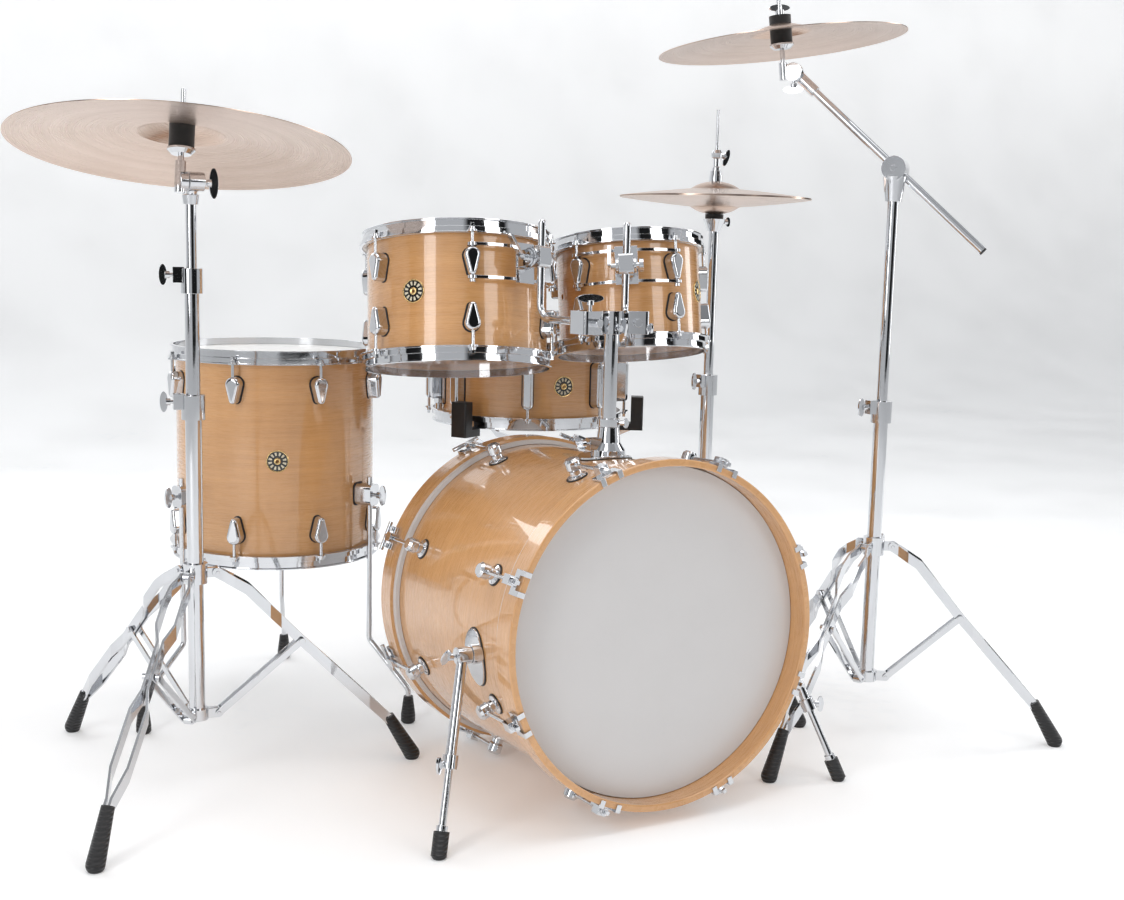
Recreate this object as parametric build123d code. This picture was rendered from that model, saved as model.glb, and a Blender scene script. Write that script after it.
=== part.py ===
"""A five-piece acoustic drum kit with cymbals and stands, as separate pieces.

The kit is laid out on the floor in millimetres, +Z up. The kick drum lies along Y with its front
head towards -Y. The audience stands at -Y and the player sits at +Y. All pieces are placed about
the kick drum first and then moved together, so that the origin is the middle of the whole kit's
footprint, on the floor.
"""

from build123d import *
import os
from math import asin, atan2, cos, degrees, hypot, radians, sin

os.makedirs("parts", exist_ok=True)

INCH = 25.4
FIT = 0.06  # clearance on the radius of a tube or pin that slides or turns in its hole
MIDDLE = (Align.CENTER, Align.CENTER, Align.CENTER)
FROM_BASE = (Align.CENTER, Align.CENTER, Align.MIN)

# Shells, heads and hoops
SHELL_WALL = 6.5
KICK_WALL = 8.0
FILM = 0.4  # thickness of a drum head's film
FLESH_GAP = 0.8  # between the shell and the head's aluminium rim
FLESH_WIDTH = 6.7
FLESH_DEPTH = 8.0
FLESH_DROP = 2.0  # from the bearing edge down to the rim's top
HOOP_SHEET = 2.0
HOOP_HEIGHT = 24.0
HOOP_LIP = 4.0
EAR_RADIUS = 8.0
ROD_OFFSET = 16.5  # from a steel-hooped shell to its tension rods' axes
ROD_RADIUS = 2.8
LUG_DEPTH = ROD_OFFSET + 6.5
LUG_ROUNDING = 5.5
SNARE_LUG_LENGTH = 86.0

# Each drum: radius, depth, ply, lugs a side, direction of the first, and for a hung tom the height
# of its tilt pin above its middle
KICK = dict(radius=10 * INCH, depth=16 * INCH, wall=KICK_WALL, lugs=8, first=22.5)
TOM12 = dict(radius=6 * INCH, depth=8 * INCH, wall=SHELL_WALL, lugs=6, first=-106.5, lug_inset=56.0, tilt=49.5)
TOM10 = dict(radius=5 * INCH, depth=7 * INCH, wall=SHELL_WALL, lugs=5, first=-86.5, lug_inset=54.0, tilt=29.0)
FLOOR = dict(radius=7 * INCH, depth=14 * INCH, wall=SHELL_WALL, lugs=8, first=-84.8, lug_inset=54.0)
SNARE = dict(radius=7 * INCH, depth=5.5 * INCH, wall=SHELL_WALL, lugs=8, first=-117.3, lug_inset=69.85)

TOM12_FRAME = Plane(origin=(-118, 268, 763), x_dir=(1, 0, 0), z_dir=(0.057, 0.172, 1))
TOM10_FRAME = Plane(origin=(203, 232, 774), x_dir=(1, 0, 0), z_dir=(0.031, 0.189, 1))
FLOOR_FRAME = Plane(origin=(-337, 581, 483), x_dir=(1, 0, 0), z_dir=(0, 0, 1))
SNARE_AT = (172, 557)
SNARE_FRAME = Plane(origin=(*SNARE_AT, 602), x_dir=(1, 0, 0), z_dir=(0, 0, 1))
TOM12_BRACKET = -76.5
TOM10_BRACKET = -122.5

# Kick drum
KICK_HOOP_RADIUS = KICK["radius"] + 13.0
KICK_HOOP_WALL = 11.0
KICK_HOOP_WIDTH = 41.0
KICK_FRONT_LIFT = 22.0  # how much higher the front is than the back, over the drum's length
KICK_SEAT = 5.2  # from the bearing edge back to the wooden hoop's seat on the rim
KICK_LUG_INSET = 71.0
KICK_ROD_OFFSET = 21.0
KICK_ROD_RADIUS = 3.2
SPUR_ANGLE = 7.0  # below the drum's middle
SPUR_ALONG = 100.0
SPUR_FOOT = (KICK["radius"] + 109.0, -218.0, 0.0)
SPUR_TUBE = 8.0
SPUR_ROD = 5.6

# Double tom mount
MOUNT_Y = -48.0
POST_LOW = KICK_HOOP_RADIUS + KICK_FRONT_LIFT / 2 + KICK["radius"] + 13.0  # just over the shell
POST_RADIUS = 11.1
BLOCK_Z = 747.0
BLOCK_HEIGHT = 36.0
ARM_RADIUS = 6.35
ARM_BEND = 24.0
ARM_TOP = 899.0
CLAMP_REACH = 48.0  # from a tom's shell to its tilt pin
CLAMP_RADIUS = 16.0
ARM_SET_OUT = 16.0  # from the tilt pin out to the arm
LUG_TOP, LUG_TIP = 22.0, 24.5  # how far a lug reaches above and below its level
BAR_GAP = 3.2  # from a lug's end to the middle of a bracket bar

# Floor tom legs
FLOOR_LEG_ANGLES = (-53.0, 69.0, 198.0)
FLOOR_LEG_RADIUS = 5.0
FLOOR_LEG_OFFSET = 24.0
FLOOR_LEG_SPREAD = 285.0
FLOOR_BRACKET_Z = 413.0

# Stands: (x, y) of the tube and the direction of the first leg
RIDE_AT, RIDE_TURN, RIDE_SPREAD = (-584, 228), -8.0, 350.0
BOOM_AT, BOOM_TURN, BOOM_SPREAD = (563, -42), -37.5, 331.0
HIHAT_AT, HIHAT_TURN, HIHAT_SPREAD = (411, 275), -75.0, 245.0
SNARE_STAND_TURN, SNARE_STAND_SPREAD = 65.0, 235.0
LOW_TUBE = 12.7
MIDDLE_TUBE = 11.1
TOP_TUBE = 8.0
TUBE_WALL = 1.5
POST_TIP = 4.5
POST_THREAD = 4.0  # the bare threaded end of the ride's post
THREAD_LENGTH = 22.0
LEG_DEPTH = 16.0
STRIP = 4.0
BRACE_DEPTH = 10.0
PIN = 3.0
RUBBER_FOOT = 13.5

# Cymbals: radius, height of the bell's top, bell radius, bell height
RIDE = dict(radius=10 * INCH, rise=40.0, bell=66.0, dome=17.0)
CRASH = dict(radius=8.5 * INCH, rise=34.0, bell=54.0, dome=14.0)
HAT = dict(radius=7 * INCH, rise=28.0, bell=46.0, dome=13.0)
CYMBAL_SHEET = 1.3
CYMBAL_HOLE = 6.2
FELT_RADIUS = 19.0
RIDE_CYMBAL_Z = 992.0
RIDE_LEAN = (0.100, 0.172)
CRASH_LEAN = (-0.096, 0.066)
CRASH_PIVOT = (446.0, 102.0, 1174.0)
BOOM_PIVOT_Z = 1008.0
BOOM_TAIL = 205.0
BOOM_TUBE = 7.0
HAT_EDGE_Z = 956.5


def polar(radius, angle, height=0.0):
    return (radius * cos(radians(angle)), radius * sin(radians(angle)), height)


def rod(start, end, radius):
    """A round bar from one point to another."""
    way = Vector(*end) - Vector(*start)
    return Plane(origin=start, z_dir=way) * Cylinder(radius, way.length, align=FROM_BASE)


def turned(points):
    """A solid turned about Z from its (radius, height) outline."""
    return revolve(Plane.XZ * make_face(Polyline(*points, close=True)), Axis.Z, 360)


def ring(inner, outer, low, high):
    return turned([(inner, low), (outer, low), (outer, high), (inner, high)])


def link(start, end, width):
    """A flat bar's outline from one point to another, with round ends."""
    (x0, y0), (x1, y1) = start, end
    turn = degrees(atan2(y1 - y0, x1 - x0))
    slot = SlotCenterToCenter(hypot(x1 - x0, y1 - y0), width)
    return Pos((x0 + x1) / 2, (y0 + y1) / 2) * Rot(0, 0, turn) * slot


def chain(points, width):
    """Links from point to point, joined into one outline."""
    outline = link(points[0], points[1], width)
    for start, end in zip(points[1:-1], points[2:]):
        outline += link(start, end, width)
    return outline


def lug_angles(drum):
    return [drum["first"] + 360 / drum["lugs"] * number for number in range(drum["lugs"])]


def around(piece, angles):
    return [Rot(0, 0, angle) * piece for angle in angles]


def upside_down(pieces):
    return [mirror(piece, about=Plane.XY) for piece in pieces]


def wing_screw(length, span, width, radius=3.0):
    """A screw from the origin along +X, with a rounded wing across its outer end."""
    shank = rod((0, 0, 0), (length, 0, 0), radius)
    boss = rod((length - 7, 0, 0), (length, 0, 0), radius * 1.9)
    wing = Pos(length + width / 2 - 3, 0, 0) * Plane.XZ * Ellipse(width / 2, span / 2)
    return shank + boss + extrude(wing, radius * 0.6, both=True)


# ---------------------------------------------------------------- drums


def shell(drum, vent=None):
    """A ply shell whose ends are cut to a 45 degree bearing edge."""
    radius, wall, half = drum["radius"], drum["wall"], drum["depth"] / 2
    inner = radius - wall
    slope = wall - 1.5
    outline = [(radius, 1.5 - half), (radius - 1.5, -half), (inner, slope - half)]
    outline += [(inner, half - slope), (radius - 1.5, half), (radius, half - 1.5)]
    body = turned(outline)
    if vent is not None:
        body -= Rot(0, 0, vent) * rod((inner - 5, 0, 0), (radius + 5, 0, 0), 5.0)
    return [body]


def head(drum):
    """A head at the top: its film over the bearing edge, down to the rim that pulls it tight."""
    radius, top = drum["radius"], drum["depth"] / 2
    near, far = radius + FLESH_GAP, radius + FLESH_GAP + FLESH_WIDTH
    low = top - FLESH_DROP - FLESH_DEPTH
    outline = [(0, top), (near, top), (near, low), (far, low), (far, top - FLESH_DROP)]
    outline += [(near + FILM, top - FLESH_DROP), (near + FILM, top + FILM), (0, top + FILM)]
    return turned(outline)


def heads(drum):
    top = head(drum)
    return [top, mirror(top, about=Plane.XY)]


def steel_hoop(drum):
    """A triple-flanged hoop at the top, with an ear over each tension rod."""
    wall = drum["radius"] + FLESH_GAP + FLESH_WIDTH + 0.5
    neck = drum["radius"] + FLESH_GAP + FILM + 2.3
    seat = drum["depth"] / 2 - FLESH_DROP
    low, high = seat - 9.0, seat - 9.0 + HOOP_HEIGHT
    sheet, lip = HOOP_SHEET, HOOP_LIP
    outline = [(wall, low), (wall, seat), (neck, seat), (neck, high), (neck + sheet + lip, high)]
    outline += [(neck + sheet + lip, high - sheet), (neck + sheet, high - sheet)]
    outline += [(neck + sheet, seat + sheet), (wall + sheet, seat + sheet)]
    outline += [(wall + sheet, low + sheet), (wall + sheet + lip, low + sheet), (wall + sheet + lip, low)]
    hoop = turned(outline)
    place = drum["radius"] + ROD_OFFSET
    ear = Pos(place, 0, low) * Cylinder(EAR_RADIUS, 3.0, align=FROM_BASE)
    ear -= Cylinder(wall + 0.5, 2 * high + 2)
    hole = Pos(place, 0, low) * Cylinder(ROD_RADIUS + 0.5, 12.0)
    for angle in lug_angles(drum):
        hoop += Rot(0, 0, angle) * ear
    for angle in lug_angles(drum):
        hoop -= Rot(0, 0, angle) * hole
    return hoop


def steel_hoops(drum):
    top = steel_hoop(drum)
    return [top, mirror(top, about=Plane.XY)]


def tension_rod(drum, low):
    """A rod from inside its lug up through the hoop's ear, with its washer and key head."""
    ear_top = drum["depth"] / 2 - FLESH_DROP - 9.0 + 3.0
    shank = Cylinder(ROD_RADIUS, ear_top - low, align=FROM_BASE)
    washer = Pos(0, 0, ear_top - low) * Cylinder(6.0, 1.2, align=FROM_BASE)
    collar = Pos(0, 0, ear_top - low + 1.2) * Cylinder(4.4, 4.0, align=FROM_BASE)
    key = Pos(0, 0, ear_top - low + 5.2) * Box(5.4, 5.4, 6.0, align=FROM_BASE)
    return Pos(drum["radius"] + ROD_OFFSET, 0, low) * (shank + washer + collar + key)


def teardrop(top, wide, low, narrow):
    """The outline around a wide circle at height top and a narrow one at height low."""
    lean = asin((wide - narrow) / (top - low))
    sides = []
    for height, radius in ((top, wide), (low, narrow)):
        sides.append((radius * cos(lean), height - radius * sin(lean)))
    sides += [(-x, y) for x, y in reversed(sides)]
    middle = make_face(Polyline(*sides, close=True))
    return middle + Pos(0, top) * Circle(wide) + Pos(0, low) * Circle(narrow)


def lug_block(drum, outline):
    """A lug on the shell with this outline, its front edge well rounded."""
    radius = drum["radius"]
    block = extrude(Pos(radius - 3, 0, 0) * (Plane.YZ * outline), LUG_DEPTH + 3)
    block = fillet(block.faces().sort_by(Axis.X)[-1].edges(), LUG_ROUNDING)
    return block - Cylinder(radius, 120)


def shield_lug(drum):
    """A lug shaped like a shield, its point towards the shell's middle, bored for one rod."""
    radius = drum["radius"]
    block = lug_block(drum, teardrop(LUG_TOP - 13, 13, 6.5 - LUG_TIP, 6.5))
    bore = Pos(radius + ROD_OFFSET, 0, -2) * Cylinder(ROD_RADIUS, 40, align=FROM_BASE)
    return block - bore


def lugs_and_rods(drum):
    """The lugs and rods at the top and bottom of a tom or floor tom."""
    level = drum["depth"] / 2 - drum["lug_inset"]
    lug = Pos(0, 0, level) * shield_lug(drum)
    screw = tension_rod(drum, level - 2)
    top = around(lug, lug_angles(drum)) + around(screw, lug_angles(drum))
    return top + upside_down(top)


def snare_lugs(drum):
    """Long lugs that take a rod at each end."""
    radius = drum["radius"]
    block = lug_block(drum, Rot(0, 0, 90) * SlotCenterToCenter(SNARE_LUG_LENGTH - 20, 20))
    place = radius + ROD_OFFSET
    block -= Pos(place, 0, 12) * Cylinder(ROD_RADIUS, 60, align=FROM_BASE)
    block -= Pos(place, 0, -72) * Cylinder(ROD_RADIUS, 60, align=FROM_BASE)
    screws = around(tension_rod(drum, 12), lug_angles(drum))
    return around(block, lug_angles(drum)) + screws + upside_down(screws)


# ---------------------------------------------------------------- kick drum

KICK_LENGTH = KICK["depth"] + 2 * (KICK_HOOP_WIDTH - KICK_SEAT)
KICK_FRAME = Plane(
    origin=(0, 0, KICK_HOOP_RADIUS + KICK_FRONT_LIFT / 2),
    x_dir=(1, 0, 0),
    z_dir=(0, -KICK_LENGTH, KICK_FRONT_LIFT),
)
KICK_SEAT_AT = KICK["depth"] / 2 - KICK_SEAT
KICK_ROD_AT = KICK["radius"] + KICK_ROD_OFFSET


def kick_head():
    radius, top, seat = KICK["radius"], KICK["depth"] / 2, KICK_SEAT_AT
    near, far = radius + 0.6, radius + 7.5
    outline = [(0, top), (near, top), (near, seat - 11), (far, seat - 11), (far, seat)]
    outline += [(near + FILM, seat), (near + FILM, top + FILM), (0, top + FILM)]
    return turned(outline)


def kick_hoop():
    """A wooden hoop whose outer corners are rounded over."""
    outer, inner = KICK_HOOP_RADIUS, KICK_HOOP_RADIUS - KICK_HOOP_WALL
    body = ring(inner, outer, KICK_SEAT_AT, KICK_SEAT_AT + KICK_HOOP_WIDTH)
    return fillet(body.edges().filter_by(GeomType.CIRCLE).sort_by(Axis.Z)[-2:], 2.5)


def kick_lug():
    """A round turret lug, cross-drilled for its rod."""
    outline = [(0, -4), (15, -4), (15, 3), (9.5, 5.5), (9.5, 12), (12, 15), (12, 27), (8.5, 31), (0, 31)]
    body = Pos(KICK["radius"], 0, 0) * Rot(0, 90, 0) * turned(outline)
    body -= Cylinder(KICK["radius"], 60)
    body -= Pos(KICK_ROD_AT, 0, 0) * Cylinder(KICK_ROD_RADIUS, 60)
    return Pos(0, 0, KICK["depth"] / 2 - KICK_LUG_INSET) * body


def kick_claw():
    """A claw that hooks over the hoop's front edge with two fingers, one each side of its rod."""
    near = KICK_HOOP_RADIUS + 0.2
    face = KICK_SEAT_AT + KICK_HOOP_WIDTH
    body = Box(15.5, 15, 18, align=(Align.MIN, Align.CENTER, Align.MIN))
    body = Pos(near, 0, face - 30) * body
    body += Pos(near, 0, face - 22) * Box(3.2, 38, 14, align=(Align.MIN, Align.CENTER, Align.MIN))
    finger = Pos(near, 15, face - 22) * Box(3.2, 8, 25.4, align=(Align.MIN, Align.CENTER, Align.MIN))
    hook = Pos(near - 9, 15, face + 0.2) * Box(12.2, 8, 3.2, align=(Align.MIN, Align.CENTER, Align.MIN))
    fingers = finger + hook
    body += fingers + mirror(fingers, about=Plane.XZ)
    return body - Pos(KICK_ROD_AT, 0, face - 35) * Cylinder(KICK_ROD_RADIUS + 0.4, 40, align=FROM_BASE)


def kick_rod(handle):
    """A tension rod: a T handle at the back, a square key head at the front."""
    low, seat = KICK["depth"] / 2 - KICK_LUG_INSET - 14, KICK_SEAT_AT + KICK_HOOP_WIDTH - 12
    body = Cylinder(KICK_ROD_RADIUS, seat - low, align=FROM_BASE)
    body += Pos(0, 0, seat - low) * Cylinder(5.8, 6, align=FROM_BASE)
    if handle:
        body += Pos(0, 0, seat - low + 6) * Cylinder(4.5, 8, align=FROM_BASE)
        body += Pos(0, 0, seat - low + 16) * Rot(90, 0, 0) * Cylinder(3.6, 50)
    else:
        body += Pos(0, 0, seat - low + 6) * Box(6, 6, 8, align=FROM_BASE)
    return Pos(KICK_ROD_AT, 0, low) * body


def saddle(angle, along, width, height, thick):
    """An oval plate curved to sit on the kick shell."""
    oval = Plane.YZ * Ellipse(width / 2, height / 2)
    plate = extrude(Pos(KICK["radius"] - 20, 0, 0) * oval, 60)
    plate &= ring(KICK["radius"], KICK["radius"] + thick, -height, height)
    return Rot(0, 0, angle) * Pos(0, 0, along) * plate


# Where each spur turns: on the side of the shell, out past the rods
SPUR_PIVOT = Vector(KICK["radius"] + 28, -118, KICK_HOOP_RADIUS - 5)


def spur_side(piece, side):
    return piece if side > 0 else mirror(piece, about=Plane.YZ)


def spur_bracket():
    """The right-hand spur's oval plate and the round boss that the spur turns on."""
    plate = KICK_FRAME * saddle(-SPUR_ANGLE, SPUR_ALONG, 88, 58, 4)
    x, y, z = SPUR_PIVOT
    boss = rod((KICK["radius"] - 6, y, z), (x - 12, y, z), 15)
    boss += rod((x - 13, y, z), (x + 11, y, z), 5)
    boss -= KICK_FRAME * Cylinder(KICK["radius"] + 2, KICK["depth"])
    return plate + boss


def spur():
    """The right-hand spur: a head that turns on the boss, a tube and the clamp at its end."""
    x, y, z = SPUR_PIVOT
    foot = Vector(*SPUR_FOOT)
    way = (foot - SPUR_PIVOT).normalized()
    end = SPUR_PIVOT + way * 160
    head_piece = rod((x - 11.5, y, z), (x + 10, y, z), 13)
    body = head_piece + rod(SPUR_PIVOT, end, SPUR_TUBE) + rod(end - way * 14, end + way * 6, 11.5)
    body -= rod(SPUR_PIVOT + way * 18, end + way * 8, SPUR_ROD + FIT)
    body -= rod((x - 14, y, z), (x + 14, y, z), 5 + FIT)
    screw_at = end - way * 4 + Vector(10.5, 0, 0)
    screw = Pos(*screw_at) * Rot(0, 0, -35) * wing_screw(10, 26, 11)
    knob = Pos(x + 11.5, y, z) * Rot(40, 0, 0) * wing_screw(12, 34, 13)
    return [body, screw - body, knob - body]


def spur_leg():
    """The right-hand spur's inner rod with its rubber tip on the floor."""
    foot = Vector(*SPUR_FOOT)
    way = (foot - SPUR_PIVOT).normalized()
    bar = rod(SPUR_PIVOT + way * 60, foot - way * 22, SPUR_ROD)
    nut = rod(foot - way * 46, foot - way * 38, 8.5)
    tip = rod(foot - way * 38, foot - way * 3, 11.5) + Pos(*(foot - way * 8)) * Sphere(11.5)
    tip -= Pos(foot.X, foot.Y, 0) * Box(80, 80, 60, align=(Align.CENTER, Align.CENTER, Align.MAX))
    return [bar + nut, tip - bar - nut]


# ---------------------------------------------------------------- tom mount


def bracket_point(drum, frame, angle, out=0.0):
    """The middle of a tom's tilt pin, or a point straight out from it."""
    return frame.from_local_coords(polar(drum["radius"] + CLAMP_REACH + out, angle, drum["tilt"]))


def arm_corner(drum, frame, angle):
    """Where a tom arm stands: level with the mount's block, out from the tilt pin."""
    point = bracket_point(drum, frame, angle)
    out = frame.from_local_coords(polar(1000, angle)) - frame.origin
    out = Vector(out.X, out.Y, 0).normalized()
    corner = point + out * ARM_SET_OUT
    return Vector(corner.X, corner.Y, BLOCK_Z)


TOM12_CORNER = arm_corner(TOM12, TOM12_FRAME, TOM12_BRACKET)
TOM10_CORNER = arm_corner(TOM10, TOM10_FRAME, TOM10_BRACKET)
TOM12_SOCKET = Vector(-46, MOUNT_Y, BLOCK_Z)
TOM10_SOCKET = Vector(44, MOUNT_Y, BLOCK_Z)


def mount_receiver():
    """The plate on the kick drum and the flared receiver that the post slides in."""
    plate = KICK_FRAME * saddle(90, -MOUNT_Y, 88, 80, 4)
    outline = [(POST_RADIUS + FIT, -30), (30, -30), (27, 10), (19, 22), (16.5, 46), (POST_RADIUS + FIT, 46)]
    body = Pos(0, MOUNT_Y, POST_LOW - 8) * turned(outline)
    body -= KICK_FRAME * Cylinder(KICK["radius"] + 2, KICK["depth"])
    body += Pos(-26, MOUNT_Y, POST_LOW + 12) * Box(22, 16, 18)
    body -= Pos(0, MOUNT_Y, POST_LOW - 30) * Cylinder(POST_RADIUS + FIT, 100, align=FROM_BASE)
    screw = Pos(-37, MOUNT_Y, POST_LOW + 12) * Rot(0, 0, 180) * Rot(50, 0, 0) * wing_screw(12, 34, 13)
    return [plate - Pos(0, MOUNT_Y, POST_LOW) * Cylinder(POST_RADIUS + FIT, 80) + body, screw]


def split_clamp(socket, corner):
    """One of the block's two clamps, bored for its arm."""
    turn = degrees(atan2(corner.Y - socket.Y, corner.X - socket.X))
    box = Pos(*socket) * Rot(0, 0, turn) * Box(42, 38, BLOCK_HEIGHT)
    box = fillet(box.edges().filter_by(Axis.Z), 6)
    way = (corner - socket).normalized()
    return box, rod(socket - way * 60, socket + way * 60, ARM_RADIUS + FIT)


def mount_post():
    """The post with its stop ring, and the block that holds the two arms."""
    low, high = BLOCK_Z - BLOCK_HEIGHT / 2, BLOCK_Z + BLOCK_HEIGHT / 2
    post = ring(POST_RADIUS - 2, POST_RADIUS, POST_LOW - 65, low + 4)
    stop = ring(POST_RADIUS, 17, POST_LOW + 39, POST_LOW + 51)
    left, left_bore = split_clamp(TOM12_SOCKET, TOM12_CORNER)
    right, right_bore = split_clamp(TOM10_SOCKET, TOM10_CORNER)
    hub = Cylinder(19, BLOCK_HEIGHT)
    block = left + right + Pos(0, MOUNT_Y, BLOCK_Z) * (hub + Box(80, 26, BLOCK_HEIGHT - 6))
    block -= left_bore + right_bore
    block -= Pos(0, MOUNT_Y, low - 1) * Cylinder(POST_RADIUS, 5, align=FROM_BASE)
    screws = [
        Pos(TOM12_SOCKET.X, MOUNT_Y - 11, high) * Rot(0, -90, 0) * wing_screw(16, 46, 13),
        Pos(TOM10_SOCKET.X + 10, MOUNT_Y - 20, BLOCK_Z - 8) * Rot(0, 0, -90) * wing_screw(8, 16, 9),
        Pos(0, MOUNT_Y - 19, BLOCK_Z - 4) * Rot(0, 0, -90) * Rot(0, 20, 0) * wing_screw(14, 40, 15),
    ]
    stop_screw = Pos(12, MOUNT_Y - 12, POST_LOW + 45) * Rot(0, 0, -45) * wing_screw(9, 16, 9, 2.2)
    stand = [Pos(0, MOUNT_Y, 0) * post, Pos(0, MOUNT_Y, 0) * stop, block]
    return stand + [screw - block for screw in screws] + [stop_screw - stand[1]]


def tom_arm(drum, frame, angle, socket, corner):
    """An L rod and the clamp on it that the tom tilts about."""
    way = (corner - socket).normalized()
    start = socket - way * 34
    path = FilletPolyline(start, corner, Vector(corner.X, corner.Y, ARM_TOP), radius=ARM_BEND)
    bar = sweep(Plane(origin=start, z_dir=way) * Circle(ARM_RADIUS), path)
    bar += Pos(corner.X, corner.Y, ARM_TOP) * Sphere(ARM_RADIUS)
    local = Pos(drum["radius"] + CLAMP_REACH, 0, drum["tilt"])
    drum_piece = local * Rot(90, 0, 0) * Cylinder(CLAMP_RADIUS, 25)
    boss = local * Pos(ARM_SET_OUT - 3, 0, 0) * Box(28, 24, 34)
    clamp = frame * Rot(0, 0, angle) * (drum_piece + fillet(boss.edges().filter_by(Axis.Y), 5))
    clamp -= frame * Rot(0, 0, angle) * local * Rot(90, 0, 0) * Cylinder(PIN + 2 + FIT, 60)
    clamp -= rod((corner.X, corner.Y, BLOCK_Z), (corner.X, corner.Y, ARM_TOP + 40), ARM_RADIUS)
    return [bar, clamp]


def suspension_bracket(drum, angle):
    """Two curved bars between neighbouring rods, the plate they carry, its cheeks and tilt pin."""
    radius, rise = drum["radius"], drum["tilt"]
    reach, half_step = radius + CLAMP_REACH, 180 / drum["lugs"]
    near, far = radius + ROD_OFFSET + 2.5, radius + ROD_OFFSET + 6.5
    pieces = []
    lug = drum["depth"] / 2 - drum["lug_inset"]
    upper, lower = lug + LUG_TOP + BAR_GAP, lug - LUG_TIP - BAR_GAP
    for level in (upper, lower):
        bar = ring(near, far, level - 2.5, level + 2.5)
        wedge = [(0, 0), polar(2 * radius, -half_step)[:2], polar(2 * radius, half_step)[:2]]
        bar &= Pos(0, 0, level - 10) * extrude(make_face(Polyline(*wedge, close=True)), 20)
        for side in (-1, 1):
            eye = Pos(radius + ROD_OFFSET, 0, level) * Cylinder(8.5, 5)
            hole = Pos(radius + ROD_OFFSET, 0, level) * Cylinder(ROD_RADIUS, 20)
            bar = bar + Rot(0, 0, side * half_step) * eye - Rot(0, 0, side * half_step) * hole
        pieces.append(bar)
    width = degrees(19 / far)
    plate = ring(far, far + 3, lower - 6, upper + 6)
    wedge = [(0, 0), polar(2 * radius, -width)[:2], polar(2 * radius, width)[:2]]
    plate &= Pos(0, 0, rise - 50) * extrude(make_face(Polyline(*wedge, close=True)), 100)
    cheek = chain([(far + 4, rise), (reach, rise)], 26)
    cheek = Rot(90, 0, 0) * extrude(cheek, 2, both=True)
    cheeks = Pos(0, 15, 0) * cheek + Pos(0, -15, 0) * cheek
    cheeks -= ring(1, far, rise - 40, rise + 40)
    pin = rod((reach, -26, rise), (reach, 22, rise), PIN + 2)
    knob = Pos(reach, 22, rise) * Rot(0, 0, 90) * Rot(0, 90, 0) * Cylinder(11, 7, align=FROM_BASE)
    lever = Pos(reach, -28, rise) * Rot(0, -35, 0) * Box(8, 6, 48, align=(Align.CENTER, Align.CENTER, Align.MIN))
    body = plate + cheeks + pin + knob + fillet(lever.edges().filter_by(Axis.Y), 3)
    studs = []
    for side in (-1, 1):
        stud = Pos(radius + ROD_OFFSET, 0, lower - 7) * Cylinder(ROD_RADIUS, 9.5, align=FROM_BASE)
        stud += Pos(radius + ROD_OFFSET, 0, lower - 8) * Cylinder(5, 5, align=FROM_BASE)
        studs.append(Rot(0, 0, side * half_step) * stud)
    return [Rot(0, 0, angle) * piece for piece in pieces + [body] + studs]


# ---------------------------------------------------------------- floor tom and snare


def floor_brackets():
    """The three blocks on the floor tom that hold its legs, with their wing screws."""
    radius, level = FLOOR["radius"], FLOOR_BRACKET_Z - FLOOR_FRAME.origin.Z
    body = Pos(radius - 4, 0, level) * Box(FLOOR_LEG_OFFSET + 14, 30, 38, align=(Align.MIN, Align.CENTER, Align.CENTER))
    body = fillet(body.edges().filter_by(Axis.X), 8)
    body -= Cylinder(radius, 2 * FLOOR["depth"])
    body -= Pos(radius + FLOOR_LEG_OFFSET, 0, level) * Cylinder(FLOOR_LEG_RADIUS + FIT, 60)
    screw = Pos(radius + FLOOR_LEG_OFFSET + 10, 0, level) * wing_screw(13, 36, 13)
    return around(body, FLOOR_LEG_ANGLES) + around(screw, FLOOR_LEG_ANGLES)


def floor_legs():
    """Three bent legs with rubber feet, standing on the floor."""
    inner, foot = FLOOR["radius"] + FLOOR_LEG_OFFSET, FLOOR_LEG_SPREAD
    points = [(inner, 0, 445), (inner, 0, 146), (foot, 0, 62), (foot, 0, 14)]
    bar = sweep(Plane(origin=points[0], z_dir=(0, 0, -1)) * Circle(FLOOR_LEG_RADIUS), FilletPolyline(*points, radius=16))
    rubber = Pos(foot, 0, 0) * turned([(0, 0), (9.5, 0), (13, 4), (13, 16), (8.5, 50), (0, 50)]) - bar
    x, y, _ = FLOOR_FRAME.origin
    return [Pos(x, y, 0) * piece for piece in around(bar, FLOOR_LEG_ANGLES) + around(rubber, FLOOR_LEG_ANGLES)]


THROW_ANGLE = -184.0
THROW_HINGE = (SNARE["radius"] + 20, -30.0)


def snare_strainer():
    """The throw-off's casting on one side and the butt plate on the other."""
    radius = SNARE["radius"]
    casting = Pos(radius - 4, 0, -14) * Box(18, 26, 62, align=(Align.MIN, Align.CENTER, Align.CENTER))
    casting = fillet(casting.edges().filter_by(Axis.X), 4) - Cylinder(radius, 300)
    pin = rod((THROW_HINGE[0], -13, THROW_HINGE[1]), (THROW_HINGE[0], 13, THROW_HINGE[1]), 2.5)
    ears = Pos(radius + 12, 0, THROW_HINGE[1]) * Box(14, 26, 10, align=(Align.MIN, Align.CENTER, Align.CENTER))
    ears -= Pos(radius + 14.2, 0, THROW_HINGE[1]) * Box(14, 15, 12, align=(Align.MIN, Align.CENTER, Align.CENTER))
    knob = rod((radius + 9, 0, -45), (radius + 9, 0, -56), 7)
    butt = Pos(radius - 4, 0, -22) * Box(13, 34, 44, align=(Align.MIN, Align.CENTER, Align.CENTER))
    butt = fillet(butt.edges().filter_by(Axis.X), 4) - Cylinder(radius, 300)
    return around(casting + ears + pin + knob, [THROW_ANGLE]) + around(butt, [THROW_ANGLE + 180])


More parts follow.
